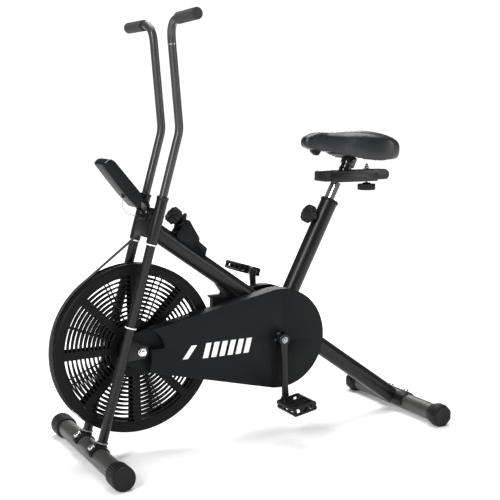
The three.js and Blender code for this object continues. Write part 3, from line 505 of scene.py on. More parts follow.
def octagon_cap(origin, outward, stations):
    """An eight-sided cap with flats to the floor, as rings of rounded octagons."""
    half_side = 22.5
    rings = []
    for height, flat, roundness in stations:
        ring = []
        for k in range(8):
            for offset in (-12 * roundness, 12 * roundness):
                corner = flat / math.cos(math.radians(half_side - abs(offset)))
                angle = math.radians(45 * k + half_side + offset)
                ring.append(around(origin, outward, X_AXIS, height, angle, corner))
        rings.append(ring)
    return Build().loft(rings)


for side_name, s in SIDES:
    out = Y_AXIS * s
    origin = spot(0, s * 194, STABILISER_Z)
    stations = [
        (0, 27.5, 0), (0.5, 29, 0), (5, 30.4, 0), (6, 31.4, 1), (44, 32.0, 1), (48, 31.8, 0.6),
        (51, 31.4, 0), (55, 30.6, 0), (57.3, 28.6, 0), (58, 25.5, 0), (57.2, 23, 0), (56.9, 0.05, 0),
    ]
    cap = ribbed_cap(origin, out, stations, 30, 1.5)
    piece(f"front_foot_cap_{side_name}", cap, CAP, [f"front_cap_{side_name}"], sharp=30)
    origin = spot(REAR_X, s * 187, STABILISER_Z)
    stations = [
        (0, 26.5, 0.3), (0.5, 27.5, 0.3), (13, 31.0, 0.3), (15, 31.7, 0.3), (16, 32.0, 0.3), (38, 32.0, 0.3),
        (42.5, 30.8, 0.4), (45.2, 28.0, 0.4), (46, 25.0, 0.4), (45.4, 23, 0.4), (45.2, 0.1, 0.4),
    ]
    cap = octagon_cap(origin, out, stations)
    piece(f"rear_foot_cap_{side_name}", cap, CAP, [f"rear_cap_{side_name}"], sharp=24)


def curved_plate(x, y_low, y_high, from_deg, to_deg, inner=25.3, thick=4.0):
    outside = arc(x, STABILISER_Z, inner + thick, from_deg, to_deg, 5)
    return Build().prism(outside + arc(x, STABILISER_Z, inner, to_deg, from_deg, 5), y_low, y_high)


def dome_bolt(x, y, angle_deg):
    """A chrome dome-headed bolt with its washer, standing out of a saddle plate."""
    a = math.radians(angle_deg)
    out = Vector((math.cos(a), 0, math.sin(a)))
    origin = spot(x, y, STABILISER_Z) + out * 0.0299
    washer = pipe(4, 11.6, 0, 1.4)
    head = [(4, -12), (4, 1.6), (9.8, 1.6), (9.9, 2.4), (8.8, 4.3), (6.6, 5.6), (3.4, 6.1), (0, 6.2)]
    return Build().turned(washer, origin, out, 28).turned(head, origin, out, 28)


rear_plate = curved_plate(REAR_X, -65, 65, 15, 195)
piece("rear_foot_plate", rear_plate, FRAME_PAINT, ["rear_saddle_plate"], bevel=1.0)
for side_name, s in SIDES:
    for end, x, spread, angle in (("front", 0, 58, 121), ("rear", REAR_X, 37, 58)):
        name = f"{end}_carriage_bolt_{side_name}"
        piece(name, dome_bolt(x, s * spread, angle), CHROME, [f"{end}_bolt_{side_name}"])

# ---- fork legs, rings, handlebars and grips
LEG_DIRECTION = (LEG_TOP - LEG_FOOT).normalized()
LEG_LENGTH = (LEG_TOP - LEG_FOOT).length
BAR_RADIUS = 11.1
GRIP_START, GRIP_LENGTH = 112, 113


def on_leg(distance, y):
    return LEG_FOOT + LEG_DIRECTION * distance + Vector((0, y, 0))


for side_name, s in SIDES:
    y = s * FORK_Y
    sleeve = LEG_LENGTH - 127
    leg = Build().turned([
        (12.7, -2), (12.7, sleeve - 3), (13.4, sleeve - 0.5), (15.0, sleeve + 1.5), (15.0, LEG_LENGTH - 16),
        (15.1, LEG_LENGTH - 10), (16.2, LEG_LENGTH - 6), (16.4, LEG_LENGTH - 2), (15.6, LEG_LENGTH),
        (11.6, LEG_LENGTH), (11.4, LEG_LENGTH - 2), (11.4, LEG_LENGTH - 58), (0, LEG_LENGTH - 58),
    ], spot_of(LEG_FOOT + Vector((0, y, 0))), LEG_DIRECTION, 44)
    weld = [(16.5, 0), (14.5, 2.2), (13.2, 4.0), (12.6, 4.2), (12.6, 0), (16.5, 0)]
    leg.turned(weld, spot_of(on_leg(-2.5, y)), LEG_DIRECTION, 40)
    curved = curved_plate(0, y - 22.5, y + 22.5, 20, 165)
    leg.add(curved.verts, curved.faces)
    lug = [(80, WHEEL[1] - 22), (WHEEL[0] - 4, WHEEL[1] - 19)] + arc(*WHEEL, 19, -90, 90, 10)
    lug += [(94, WHEEL[1] + 40)]
    leg.prism(lug, y - 2.5, y + 2.5)
    piece(f"fork_leg_{side_name}", leg, FRAME_PAINT, [f"fork_{side_name}"],
          bevel=0.6, steps=2)

    for height, station in (("foot", 4), ("middle", 312), ("top", 535)):
        band = [(13.0, 0.3), (15.2, 0.3), (15.6, 0.8), (15.6, 3.2), (15.2, 3.7), (13.0, 3.7), (13.0, 0.3)]
        # The bands at the foot take the darker copy of the white finish.
        finish = FOOT_BAND_WHITE if height == "foot" else WHITE
        ring = Build().turned(band, spot_of(on_leg(station, y)), LEG_DIRECTION, 40)
        piece(f"band_{height}_{side_name}", ring, finish, [f"ring_{height}_{side_name}"])

    bar_end = Vector((218, s * 219, 1153.5))
    bend_top = Vector((219.5, y, 1151))
    corners = [on_leg(LEG_LENGTH - 57, y), on_leg(LEG_LENGTH + 178, y), bend_top, bar_end]
    bar_points = [spot_of(p) for p in bent_path(corners, [90, 52])]
    bar = Build().tube(bar_points, BAR_RADIUS, 36)
    piece(f"handle_tube_{side_name}", bar, TUBE_PAINT, [f"handlebar_{side_name}"])

    run = (bar_end - bend_top).normalized()
    per_y = 1 / abs(run.y)
    start = bend_top + run * ((GRIP_START - FORK_Y) * per_y)
    length = GRIP_LENGTH * per_y
    ribs = []
    count = 34
    for i in range(count + 1):
        h = 2.5 + (length - 6.5) * i / count
        ribs.append((15.2 - (0.35 if i % 2 else 0.0), h))
    grip_profile = [
        (0, length - 4), (11.6, length - 4), (11.6, 0), (13.6, 0), (14.8, 0.9), *ribs,
        (15.0, length - 2.4), (13.8, length - 0.4), (11.5, length), (6, length), (4.2, length - 1.6),
        (0, length - 1.8),
    ]
    grip = Build().turned(grip_profile, spot_of(start), run, 40)
    piece(f"foam_grip_{side_name}", grip, FOAM, [f"grip_{side_name}"], sharp=60)

clip = Build().turned([(10.9, 0), (11.4, 0.2), (11.4, 3.0), (10.9, 3.2), (10.9, 0)],
                      spot(224.6, -FORK_Y, 1090), Vector((-0.084, 0, 0.996)), 36)
piece("bar_clip", clip, STEEL)

# ---- head bracket
HEAD = Vector((174, 0, 629))
LEAN = math.atan2(LEG_DIRECTION.x, LEG_DIRECTION.z)
lean_turn = Quaternion(Y_AXIS, LEAN)


def head_place(u, w, v):
    """A point in the head's own frame, which leans with the fork."""
    return spot_of(HEAD + lean_turn @ Vector((u, w, v)))


head = Build()
head.box((-13, 13), (-43, 43), (-40, 10), head_place)
head.box((-13, -8), (-43, 43), (10, 40), head_place)
head.box((8, 13), (-43, 43), (10, 34), head_place)
piece("head_plate", head, FRAME_PAINT, ["head_bracket"], bevel=1.5)
screws = Build()
for u_side, y, v in ((-1, -14, 27), (-1, 8, 24), (1, -26, 26), (1, 26, 26)):
    out = lean_turn @ X_AXIS * u_side
    foot = head_place(0, y, v)
    screws.turned([(3, 6), (3, 12), (0, 12), (0, 6), (3, 6)], foot, out, 16)
    screws.turned(rod(7.4, 12.8, 14.0), foot, out, 24)
    screws.turned([(0, 13.8), (5.6, 13.8), (5.6, 17.6), (4.6, 18.8), (2.4, 19.3), (0, 19.4)], foot, out, 6)
piece("head_screws", screws, CHROME)

# ---- console
CONSOLE = Vector((30.8, 0, 781.6))
console_turn = Quaternion(Y_AXIS, math.radians(50.2))


def console_place(u, w, v):
    return spot_of(CONSOLE + console_turn @ Vector((u, w, v)))


def rounded_sections(outline, half, stations):
    """Slices of a body across its width, each shrunk towards its middle near the sides."""
    cu = sum(u for u, _ in outline) / len(outline)
    cv = sum(v for _, v in outline) / len(outline)
    rings = []
    for w, shrink in stations:
        ring = []
        for u, v in outline:
            narrow = 1 - 0.22 * min(1, max(0, (24 - v) / 18)) ** 1.5
            ring.append(console_place(u + (cu - u) * shrink * 0.35, w * half * narrow, v + (cv - v) * shrink))
        rings.append(ring)
    return rings


case = [
    (4, 9.2), (1.2, 11.0), (0.0, 15), (0.2, 24), (1.5, 29), (5, 34.5), (10.5, 37.6), (18, 39.0), (60, 39.2),
    (118, 39.0), (126, 37.9), (133, 35.0), (142, 28.0), (151, 18.6), (152.6, 14.5),
    (151.2, 9.2), (146.5, 7.5), (100, 5.2), (50, 6.6),
]
right_edge = [(0.86, 0), (0.94, 0.035), (0.985, 0.10), (1, 0.22)]
widths = [(-w, shrink) for w, shrink in reversed(right_edge)] + right_edge
console = piece(
    "console_case", Build().loft(rounded_sections(case, 42, widths)), PLASTIC, ["console_body"], sharp=50)
subtract(
    console,
    Build().box((35.7, 102.3), (-31.3, 31.3), (37.2, 60), console_place),
    Build().turned(rod(5.8, 32.5, 60), console_place(113, 0, 0),
                   console_turn @ Z_AXIS, 32),
    Build().box((-20, 170), (-60, -41.2), (18.4, 19.6), console_place),
    Build().box((-20, 170), (41.2, 60), (18.4, 19.6), console_place),
)
# A thin steel strip along the near side's top end edge; its bright line is partly a painted highlight.
trim_highlight_line = [(1.4, 16), (0.9, 20), (0.9, 26), (2.4, 31), (5.2, 34.5)]
trim_and_highlight = Build().tube([console_place(u, -40.6, v) for u, v in trim_highlight_line], 1.0, 12)
piece("console_trim_and_highlight", trim_and_highlight, STEEL)
lens = Build().box((36, 102), (-31, 31), (37.6, 38.9), console_place)
piece("console_window", lens, LENS, ["console_lens"], bevel=0.5)
lcd = Build().box((48, 88), (-25, 25), (38.85, 39.0), console_place)
piece("console_display", lcd, LCD, bevel=0.1)
button = Build().turned(
    [(0, 35.4), (5.5, 35.4), (5.5, 39.6), (4.9, 40.2), (0, 40.4)], console_place(113, 0, 0),
    console_turn @ Z_AXIS, 28)
piece("console_key", button, BUTTON, ["console_button"], body="console_button", bevel=0.3)

bracket_outline = [
    (-13.3, 4), (-13.3, 46), (-22, 52), (-46.6, 57.6), (-45.4, 51), (-28, 45), (-21.5, 40), (-18.5, 32),
    (-18.5, 4),
]
bracket = Build().prism(bracket_outline, -20, 20, head_place)
piece("lead_boss", Build().turned([(0, -9), (6, -8), (5.4, -2), (3.2, 3), (2.2, 5), (0, 5)], wire_path[0],
                                  (wire_path[3] - wire_path[0]), 24), PLASTIC)
hook = [(-43.5, 41), (-42.0, 33), (-36, 28.5), (-29, 29), (-24, 24), (-19, 18)]
hook_line = smooth_line([HEAD + lean_turn @ Vector((u, -2, v)) for u, v in hook], 5)
bracket.tube([spot_of(p) for p in hook_line], 3.6, 16)
bracket.turned([(0, 0), (3.0, 0), (3.9, 3), (4.2, 12), (4.2, 26), (0, 26)],
               head_place(-40.5, -10, 12.5), lean_turn @ X_AXIS, 24)
piece("console_mount", bracket, CAP, ["console_bracket"], bevel=0.8)

# ---- main beam, seat tube, collar and height knob
BEAM_DIRECTION = Vector((math.cos(BEAM_SLOPE), 0, -math.sin(BEAM_SLOPE)))


def on_beam(x):
    return BEAM_POINT + BEAM_DIRECTION * ((x - BEAM_POINT.x) / BEAM_DIRECTION.x)


beam_length = (on_beam(BEAM_END) - on_beam(BEAM_START)).length
beam_pipe = Build().turned(pipe(23, 25, 0, beam_length), spot_of(on_beam(BEAM_START)), BEAM_DIRECTION, 64)
beam = piece("beam_tube", beam_pipe, FRAME_PAINT, ["main_beam"])
subtract(
    beam,
    Build().box((-13.3, 13.3), (-44, 44), (-60, 60), head_place),
    Build().turned(rod(29.6, -70, 70), spot(REAR_X, 0, STABILISER_Z), Y_AXIS, 48),
)
soften(beam, 0.3, 1)

SEAT_DIRECTION = (SEAT_TOP - SEAT_FOOT).normalized()
SEAT_LENGTH = (SEAT_TOP - SEAT_FOOT).length
KNOB_DIRECTION = Vector((-SEAT_DIRECTION.z, 0, SEAT_DIRECTION.x))
KNOB_FOOT = SEAT_TOP - SEAT_DIRECTION * 60.7


def on_seat(above):
    return SEAT_TOP + SEAT_DIRECTION * above


seat_tube = Build().turned(
    pipe(23.1, 25, 0, SEAT_LENGTH - 0.3),
    spot_of(SEAT_FOOT), SEAT_DIRECTION, 56)
seat_tube = piece("mast_tube", seat_tube, FRAME_PAINT, ["seat_tube"])
beam_cut = Build().turned(rod(25.2, 0, 900), spot_of(on_beam(BEAM_START)), BEAM_DIRECTION, 64)
subtract(seat_tube, beam_cut)
boss = Build().turned([(5, 23.2), (10.5, 23.2), (10.5, 25), (10, 30.4), (9.4, 31), (5, 31), (5, 23.2)],
                      spot_of(KNOB_FOOT), KNOB_DIRECTION, 32)
piece("knob_boss", boss, FRAME_PAINT, bevel=0.4)
weld = [(27.2, 27.5), (25.8, 33), (25.05, 35), (25.02, 27.0), (27.2, 27.5)]
piece("mast_weld", Build().turned(weld, spot_of(SEAT_FOOT), SEAT_DIRECTION, 56), FRAME_PAINT)
collar = [
    (19.3, -50), (22.8, -50), (22.8, 0), (27.4, 0), (27.6, 1), (27.4, 4.6), (26.2, 6.4), (24.6, 7.6),
    (19.9, 8), (19.3, 7.4), (19.3, -50),
]
piece("mast_collar", Build().turned(collar, spot_of(SEAT_TOP), SEAT_DIRECTION, 56), CAP, ["seat_collar"])


def knob_build(origin, axis, radius, lobes, depth, hub, height, screw, screw_radius=4.5):
    """A lobed hand knob: neck, lobed body with rounded rims and a shallow dished face."""
    axis = axis.normalized()
    side = axis.orthogonal().normalized()
    count = lobes * 14
    rings = []
    stations = [
        (hub, 0.42, 0.0), (hub + 0.2, 0.9, 0.9), (hub + 1.2, 0.98, 1.0), (hub + 3, 1.0, 1.0),
        (height - 3, 1.0, 1.0), (height - 1.2, 0.98, 1.0), (height - 0.2, 0.93, 0.9), (height, 0.86, 0.8),
        (height, 0.62, 0.3), (height - 1.2, 0.56, 0.0), (height - 1.6, 0.001, 0.0),
    ]
    for h, scale, share in stations:
        ring = []
        for i in range(count):
            a = 2 * math.pi * i / count
            wave = (0.5 - 0.5 * math.cos(lobes * a)) ** 1.6
            r = (radius - depth * share * wave) * scale
            ring.append(around(origin, axis, side, h, a, r))
        rings.append(ring)
    build = Build().loft(rings)
    build.turned(rod(screw_radius, -screw, 0), origin, axis, 24)
    waist = radius * 0.42
    neck = [(0, -0.2), (waist, 0), (radius * 0.46, 1), (waist, hub + 1), (0, hub + 1.2)]
    build.turned(neck, origin, axis, 36)
    return build


piece("height_hand_knob",
      knob_build(spot_of(KNOB_FOOT + KNOB_DIRECTION * 32), KNOB_DIRECTION, 27, 12, 1.6, 6, 26, 12),
      CAP, ["height_knob"], body="height_knob", sharp=50)

# ---- seat mast, slider and saddle
POST_LOW, POST_LENGTH = -230, 290
POST_HOLES = (-200, -160, -120, -80, -40, 24)
SLIDER_TOP = 752
CLAMP_X = 882


def plan(u, w, v):
    """Places an outline seen from above, thick upwards."""
    return spot(u, v, w)


post = piece(
    "mast_post", Build().turned(
        pipe(16.5, 19, 0, POST_LENGTH), spot_of(on_seat(POST_LOW)), SEAT_DIRECTION, 56),
    CHROME, ["seat_post"], body="seat_mast")
subtract(post, Build().box((700, 900), (-60, 60), (719.6, 900)))
for above in POST_HOLES:
    hole_at = spot_of(on_seat(above))
    subtract(post, Build().turned(rod(4.5, 10, 30), hole_at, -KNOB_DIRECTION, 20))
channel = Build().box((745, 908), (-22.3, 22.3), (716.7, 720.7))
channel.box((745, 908), (-22.3, -19.3), (716.9, 741))
channel.box((745, 908), (19.3, 22.3), (716.9, 741))
channel.prism([(758, 700), (806, 717), (742, 717), (752, 705)], -18.9, 18.9)
saddle_channel = piece("mast_channel", channel, FRAME_PAINT, body="seat_mast", bevel=0.8)
subtract(saddle_channel, Build().turned(rod(19.05, 0, 60), spot_of(on_seat(0)), SEAT_DIRECTION, 40))

slider_outline = [
    (713, 721), (942, 721), (949, 724), (953, 731), (953, 741), (949, 746.5), (941, 752), (713, 752),
]
slider = piece("saddle_rail", Build().prism(slider_outline, -19, 19), FRAME_PAINT, ["saddle_slider"],
               body="saddle", bevel=3.0, steps=3)
slot = arc(CLAMP_X + 34, 0, 4.8, -90, 90, 15) + arc(CLAMP_X - 34, 0, 4.8, 90, 270, 15)
subtract(slider, Build().prism(slot, 700, 770, plan))
cap_outline = [(708, 724), (711, 721.4), (746, 721), (740, 752), (714, 751.6), (709, 748)]
piece("rail_cap_front", Build().prism(cap_outline, -19.2, 19.2), CAP, body="saddle", bevel=2.2, steps=3)
stem_foot = Vector((800, 0, SLIDER_TOP - 6))
piece("saddle_stem", Build().turned(rod(17, 0, 31), spot_of(stem_foot), SEAT_DIRECTION, 48),
      GLOSS_PAINT, body="saddle")
weld = [(17.2, 5.5), (20.4, 6.0), (19.4, 8.6), (17.6, 10.4), (17.2, 5.5)]
piece("stem_weld", Build().turned(weld, spot_of(stem_foot), SEAT_DIRECTION, 48), FRAME_PAINT, body="saddle")

clamp_at = spot(CLAMP_X, 0, 0)
bolt = Build().turned([(0, 700), (4, 700), (4, 768), (3.4, 769), (0, 769)], clamp_at, Z_AXIS, 24)
bolt.turned(pipe(4.1, 11, 752.3, 754.4), clamp_at, Z_AXIS, 32)
nut = [(4.1, 754.5), (7.5, 754.5), (7.5, 760.4), (6.8, 761), (4.1, 761), (4.1, 754.5)]
bolt.turned(nut, clamp_at, Z_AXIS, 6)
piece("rail_bolt", bolt, STEEL, ["clamp_bolt"], body="seat_mast", bevel=0.3)
clamp = knob_build(spot(CLAMP_X, 0, 712), -Z_AXIS, 27, 10, 2.4, 3, 22, 0, 3.0)
piece("rail_hand_knob", clamp, CAP, ["clamp_knob"], body="clamp_knob", sharp=50)

# Saddle cross-sections from nose to tail: x, half width, top, shoulder, bottom.
SECTIONS = [
    (652, 10, 842, 836, 826), (657, 18, 851, 840, 820), (670, 24, 858, 845, 815), (695, 28, 862, 848, 811),
    (735, 36, 861, 846, 806), (772, 54, 862, 843, 794), (804, 74, 865, 838, 785), (836, 92, 866, 834, 779),
    (867, 103, 864, 832, 777), (899, 106, 858, 829, 778), (926, 98, 847, 823, 781), (945, 78, 832, 814, 785),
    (956, 50, 819, 808, 790),
]


def section_between(position):
    """A cross-section anywhere along the saddle, on a smooth curve through the listed ones."""
    i = min(int(position), len(SECTIONS) - 2)
    t = position - i
    rows = [SECTIONS[max(i - 1, 0)], SECTIONS[i], SECTIONS[i + 1], SECTIONS[min(i + 2, len(SECTIONS) - 1)]]
    return [spline(a, b, c, d, t) for a, b, c, d in zip(*rows)]


def superellipse_side(half, top, shoulder, bottom, lift, steps=13):
    """One side of a cross-section, from the crown round the flank to the turned-in hem."""
    points = []
    for i in range(steps + 1):
        a = math.pi / 2 * i / steps
        y = half * max(0.0, math.sin(a)) ** 0.92
        z = shoulder + (top - shoulder) * max(0.0, math.cos(a)) ** 0.82
        points.append((y, z))
    drop = shoulder - bottom
    for share, inset in ((0.25, 1.0), (0.5, 0.995), (0.72, 0.98), (0.9, 0.955), (0.98, 0.92), (1.0, 0.875)):
        points.append((half * inset, shoulder - drop * share))
    for y_share, z_share in ((0.84, 0.15), (0.815, 0.5), (0.80, 0.9), (0.7, 1.0), (0.4, 1.0)):
        points.append((half * y_share, bottom + lift * z_share))
    return points


RECESS_TOP = 805.3


def saddle_build(shrink=0.0):
    rings = []
    steps = 56
    for i in range(steps + 1):
        x, half, top, shoulder, bottom = section_between((len(SECTIONS) - 1) * i / steps)
        inside = min(1.0, max(0.0, (x - 686) / 28)) * min(1.0, max(0.0, (953 - x) / 12))
        lift = max(1.5, (RECESS_TOP - bottom) * inside)
        side_points = superellipse_side(half - shrink, top - shrink, shoulder, bottom + shrink * 0.5, lift)
        left = [spot(x, -y, z) for y, z in side_points]
        right = [spot(x, y, z) for y, z in side_points[1:]]
        rings.append(left[::-1] + right + [spot(x, 0, side_points[-1][1])])
    return Build().loft(rings)


# Before it swells, the cushion is a little smaller than the saddle.
cushion = saddle_build(1.2)
saddle = piece("saddle_cushion", cushion, VINYL, ["saddle_pad"], body="saddle", sharp=180)

VOXEL = 0.0045
SWELL_CAP = 0.0035


def swell(obj):
    """Inflates the cushion's skin a little with cloth, keeps its recess, and smooths it."""
    remesh = obj.modifiers.new("remesh", "REMESH")
    remesh.mode = "VOXEL"
    remesh.voxel_size = VOXEL
    bake_modifiers(obj)
    rest = [v.co.copy() for v in obj.data.vertices]
    cloth = obj.modifiers.new("cloth", "CLOTH")
    cloth.settings.quality = 5
    cloth.settings.mass = 0.3
    cloth.settings.use_pressure = True
    cloth.settings.uniform_pressure_force = 4.0
    cloth.settings.effector_weights.gravity = 0.0
    cloth.point_cache.frame_start = 1
    cloth.point_cache.frame_end = 20
    for number in range(1, 21):
        SCENE.frame_set(number)
    depsgraph = bpy.context.evaluated_depsgraph_get()
    moved = [v.co.copy() for v in obj.evaluated_get(depsgraph).data.vertices]
    obj.modifiers.clear()
    SCENE.frame_set(1)
    for vertex, start, end in zip(obj.data.vertices, rest, moved):
        shift = end - start
        if shift.length > SWELL_CAP:
            shift = shift.normalized() * SWELL_CAP
        x_mm = (start.x - STATION_ZERO) * 1000
        half = section_between(station_of(x_mm))[1] / 1000
        hidden = start.z < (RECESS_TOP + 2) / 1000 and abs(start.y) < half * 0.83
        vertex.co = start + shift * (0.0 if hidden else 1.0)
    smooth = obj.modifiers.new("smooth", "SMOOTH")
    smooth.factor = 0.5
    smooth.iterations = 4
    divide = obj.modifiers.new("divide", "SUBSURF")
    divide.levels = divide.render_levels = 1
    bake_modifiers(obj)
    obj.data.polygons.foreach_set("use_smooth", [True] * len(obj.data.polygons))


def station_of(x_mm):
    """Where along the list of sections a station lies."""
    for i, (a, b) in enumerate(zip(SECTIONS, SECTIONS[1:])):
        if x_mm <= b[0]:
            return i + max(0.0, (x_mm - a[0]) / (b[0] - a[0]))
    return len(SECTIONS) - 1


swell(saddle)

pan_side = [(x, half * 0.79) for x, half, *_ in SECTIONS[5:12]]
pan_outline = pan_side + [(x, -y) for x, y in reversed(pan_side)]
base = Build().prism(pan_outline, 796, 804.6, plan)
socket_foot = stem_foot + SEAT_DIRECTION * 22
base.turned(pipe(17.7, 21.8, 0, 28), spot_of(socket_foot), SEAT_DIRECTION, 40)
piece("saddle_pan", base, GLOSS_PAINT, ["saddle_base"], body="saddle", bevel=0.8)
nub = Build().prism([(681, 820), (686, 806), (697, 796.5), (707, 796), (714, 806), (722, 818)], -9, 9)
piece("nose_clip", nub, PLASTIC, body="saddle", bevel=3.0, steps=3)

# ---- bottom bracket and crank set
shell = Build().turned([(8.5, -24), (23.5, -24), (24, -23.4), (24, 23.4), (23.5, 24), (8.5, 24), (8.5, -24)],
                       CRANK_AT, Y_AXIS, 48)
gusset = [(CRANK[0] - 34, CRANK[1] + 66), (CRANK[0] - 22, CRANK[1]), (CRANK[0], CRANK[1] - 22),
          (CRANK[0] + 22, CRANK[1]), (CRANK[0] + 40, CRANK[1] + 40)]
for low, high in ((-18, -14), (14, 18)):
    shell.prism(gusset, low, high)
bracket_piece = piece("crank_shell", shell, FRAME_PAINT, ["bottom_bracket"])
subtract(bracket_piece, beam_cut)

CHAIN_PLANE = (-36, -33)


def toothed(centre, teeth, tip, flank, root):
    """The outline of a chain wheel, four points to a tooth."""
    points = []
    for i in range(teeth * 4):
        radius = (tip, flank, root, flank)[i % 4]
        a = 2 * math.pi * i / (teeth * 4)
        points.append((centre[0] + radius * math.cos(a), centre[1] + radius * math.sin(a)))
    return points


spindle = Build().turned(rod(8, -95, 95), CRANK_AT, Y_AXIS, 32)
spindle.prism(toothed(CRANK, 44, 85.0, 84.6, 82.4), *CHAIN_PLANE)
hub = [(8, -44), (19.5, -44), (20, -43), (20, -26.5), (19.5, -25.5), (8, -25.5), (8, -44)]
spindle.turned(hub, CRANK_AT, Y_AXIS, 36)
piece("crank_axle", spindle, STEEL, ["crank_spindle"], body="crank")
nuts = Build()
for _, s in SIDES:
    nuts.turned([(0, 93.2), (7.2, 93.2), (7.2, 97.6), (6.2, 98.9), (3.6, 99.6), (0, 99.7)],
                CRANK_AT, Y_AXIS * s, 6)
    nuts.turned(rod(9.4, 92.9, 93.8), CRANK_AT, Y_AXIS * s, 28)
piece("crank_nuts", nuts, STEEL, body="crank", bevel=0.4)


ARM_ROOT, ARM_TIP = 86, 98


def arm_build(s, down):
    """A forged crank arm: a waisted bar with round bosses at both ends."""
    build = Build()
    way = -1 if down else 1
    steps = 22
    rings = []
    for i in range(steps + 1):
        t = i / steps
        z = CRANK_LENGTH * t
        reach = ARM_ROOT + (ARM_TIP - ARM_ROOT) * t ** 1.4
        half = 11.5 - 2.5 * math.sin(math.pi * min(1, t * 1.1)) - 1.5 * t
        thick = 6.0 - 1.0 * t
        ring = []
        for k in range(16):
            a = 2 * math.pi * k / 16
            c, d = math.cos(a), math.sin(a)
            u = half * math.copysign(abs(c) ** 0.45, c)
            w = thick * math.copysign(abs(d) ** 0.45, d)
            ring.append(spot(CRANK[0] + u, s * reach + w, CRANK[1] + way * z))
        rings.append(ring)
    build.loft(rings)
    build.turned([(8.2, -7), (15.4, -7), (16.4, -6), (16.4, 5.6), (15.2, 7), (8.2, 7), (8.2, -7)],
                 spot(CRANK[0], s * ARM_ROOT, CRANK[1]), Y_AXIS, 40)
    tip = spot(CRANK[0], s * ARM_TIP, CRANK[1] + way * CRANK_LENGTH)
    build.turned([(0, -7), (11.8, -7), (12.8, -6), (12.8, 6), (11.8, 7), (0, 7)], tip, Y_AXIS, 36)
    build.turned([(0, 0), (6, 0), (6, 100), (5, 101), (0, 101)], tip, Y_AXIS * s, 24)
    return build


def pedal_build(s, down):
    """A platform pedal in its own place: cross bars, side rails with treads, webs and a barrel."""
    way = -1 if down else 1
    pitch = math.radians(-10 if down else 17)
    turn = Quaternion(Y_AXIS, pitch)
    centre = Vector((CRANK[0], 0, CRANK[1] + way * CRANK_LENGTH))

    def place(u, w, v):
        return spot_of(centre + turn @ Vector((u, w, v)))

    low, high = (-205, -112) if s < 0 else (112, 205)
    build = Build()
    cross_bars = ((7, 12.5), (-12.5, -7))
    for end in (low, high - 9):
        for bar in cross_bars:
            build.box((-31, 31), (end, end + 9), bar, place)
        for u in (-31, -10.5, 10.5, 31):
            build.box((u - 4, u + 4), (end + 0.4, end + 8.6), (-12, 12), place)
    for sign in (-1, 1):
        for v in (-1, 1):
            rail = [(28, 6.5), (28, 12.5), (31, 12.5), (35, 10.5), (37, 6), (37, 3.5), (33, 3.5)]
            build.prism([(sign * u, v * w) for u, w in rail], low, high, place)
            for k in range(9):
                y = low + 13 + (high - low - 26) * k / 8
                across, tall = sorted((sign * 29, sign * 34)), sorted((v * 12.2, v * 12.9))
                build.box(across, (y - 1.6, y + 1.6), tall, place)
        for y in (low + 5, (low + high) / 2 - 14, (low + high) / 2 + 14, high - 5):
            build.box(sorted((sign * 29, sign * 36)), (y - 4, y + 4), (-8, 8), place)
    middle = (low + high) / 2
    for y in (middle - 14, middle + 14):
        build.box((-30, 30), (y - 2.2, y + 2.2), (-5, 10.5), place)
    barrel = [(6.4, 0), (8.6, 0), (9.0, 2), (9.0, 90), (8.6, 92), (6.4, 92), (6.4, 0)]
    build.turned(barrel, place(0, low + 0.5, 0), Y_AXIS, 36)
    return build


for side_name, s in SIDES:
    down = s < 0
    piece(f"crank_lever_{side_name}", arm_build(s, down), ARM, [f"crank_arm_{side_name}"],
          body="crank", sharp=40)
    piece(f"pedal_platform_{side_name}", pedal_build(s, down), CAP, [f"pedal_{side_name}"],
          body=f"{side_name}_pedal", bevel=0.7)

# ---- fan wheel
lip = [
    (RIM_INNER, WHEEL_HALF), (221, WHEEL_HALF), (222.5, WHEEL_HALF - 1.2), (225, WHEEL_HALF - 1.2),
    (227.6, WHEEL_HALF - 2.2), (229, WHEEL_HALF - 4.5), (229, 13), (226.4, 11.5),
]
rim_profile = [(r, -y) for r, y in lip] + lip[::-1] + [(RIM_INNER, -WHEEL_HALF)]
rim = Build().turned(rim_profile, WHEEL_AT, Y_AXIS, 144)
piece("wheel_rim", rim, FAN, ["fan_rim"], body="fan_wheel", sharp=28)

SLOT_PITCH = 11.6
SLOT_WIDTH = 6.6
HALF_STEP = math.radians(22.5)


def annulus(inner, outer, low, high, chamfer=0.6):
    return [
        (inner + chamfer, low), (outer - chamfer, low), (outer, low + chamfer), (outer, high - chamfer),
        (outer - chamfer, high), (inner + chamfer, high), (inner, high - chamfer), (inner, low + chamfer),
        (inner + chamfer, low),
    ]


def wheel_place(angle):
    turn = Quaternion(Y_AXIS, angle)
    centre = Vector((WHEEL[0], 0, WHEEL[1]))
    return lambda u, w, v: spot_of(centre + turn @ Vector((u, w, v)))


for side_name, s in SIDES:
    low, high = (-WHEEL_HALF, -WHEEL_HALF + 3.5) if s < 0 else (WHEEL_HALF - 3.5, WHEEL_HALF)
    grille = Build()
    grille.turned(annulus(12.8, HUB_RADIUS, low, high), WHEEL_AT, Y_AXIS, 96)
    for number in range(10):
        inner = HUB_RADIUS + SLOT_WIDTH + SLOT_PITCH * number
        grille.turned(annulus(inner, inner + SLOT_PITCH - SLOT_WIDTH, low, high), WHEEL_AT, Y_AXIS, 120)
    grille.turned(annulus(198.2, RIM_INNER - 0.3, low, high), WHEEL_AT, Y_AXIS, 120)
    for number in range(8):
        place = wheel_place(number * math.pi / 4)
        wedge = [(HUB_RADIUS - 4, -8.5), (RIM_INNER - 4, -10.5), (RIM_INNER - 4, 10.5), (HUB_RADIUS - 4, 8.5)]
        grille.prism(wedge, low - 0.2, high + 0.2, place)
        thin = wheel_place(number * math.pi / 4 + HALF_STEP)
        grille.box((HUB_RADIUS - 4, RIM_INNER - 4), (low - 0.15, high + 0.15), (-1.6, 1.6), thin)
    for r in (30, 52):
        grille.turned(annulus(r, r + 3, low, high), WHEEL_AT, Y_AXIS, 64)
    piece(f"wheel_grille_{side_name}", grille, FAN, [f"fan_screen_{side_name}"], body="fan_wheel", sharp=30)

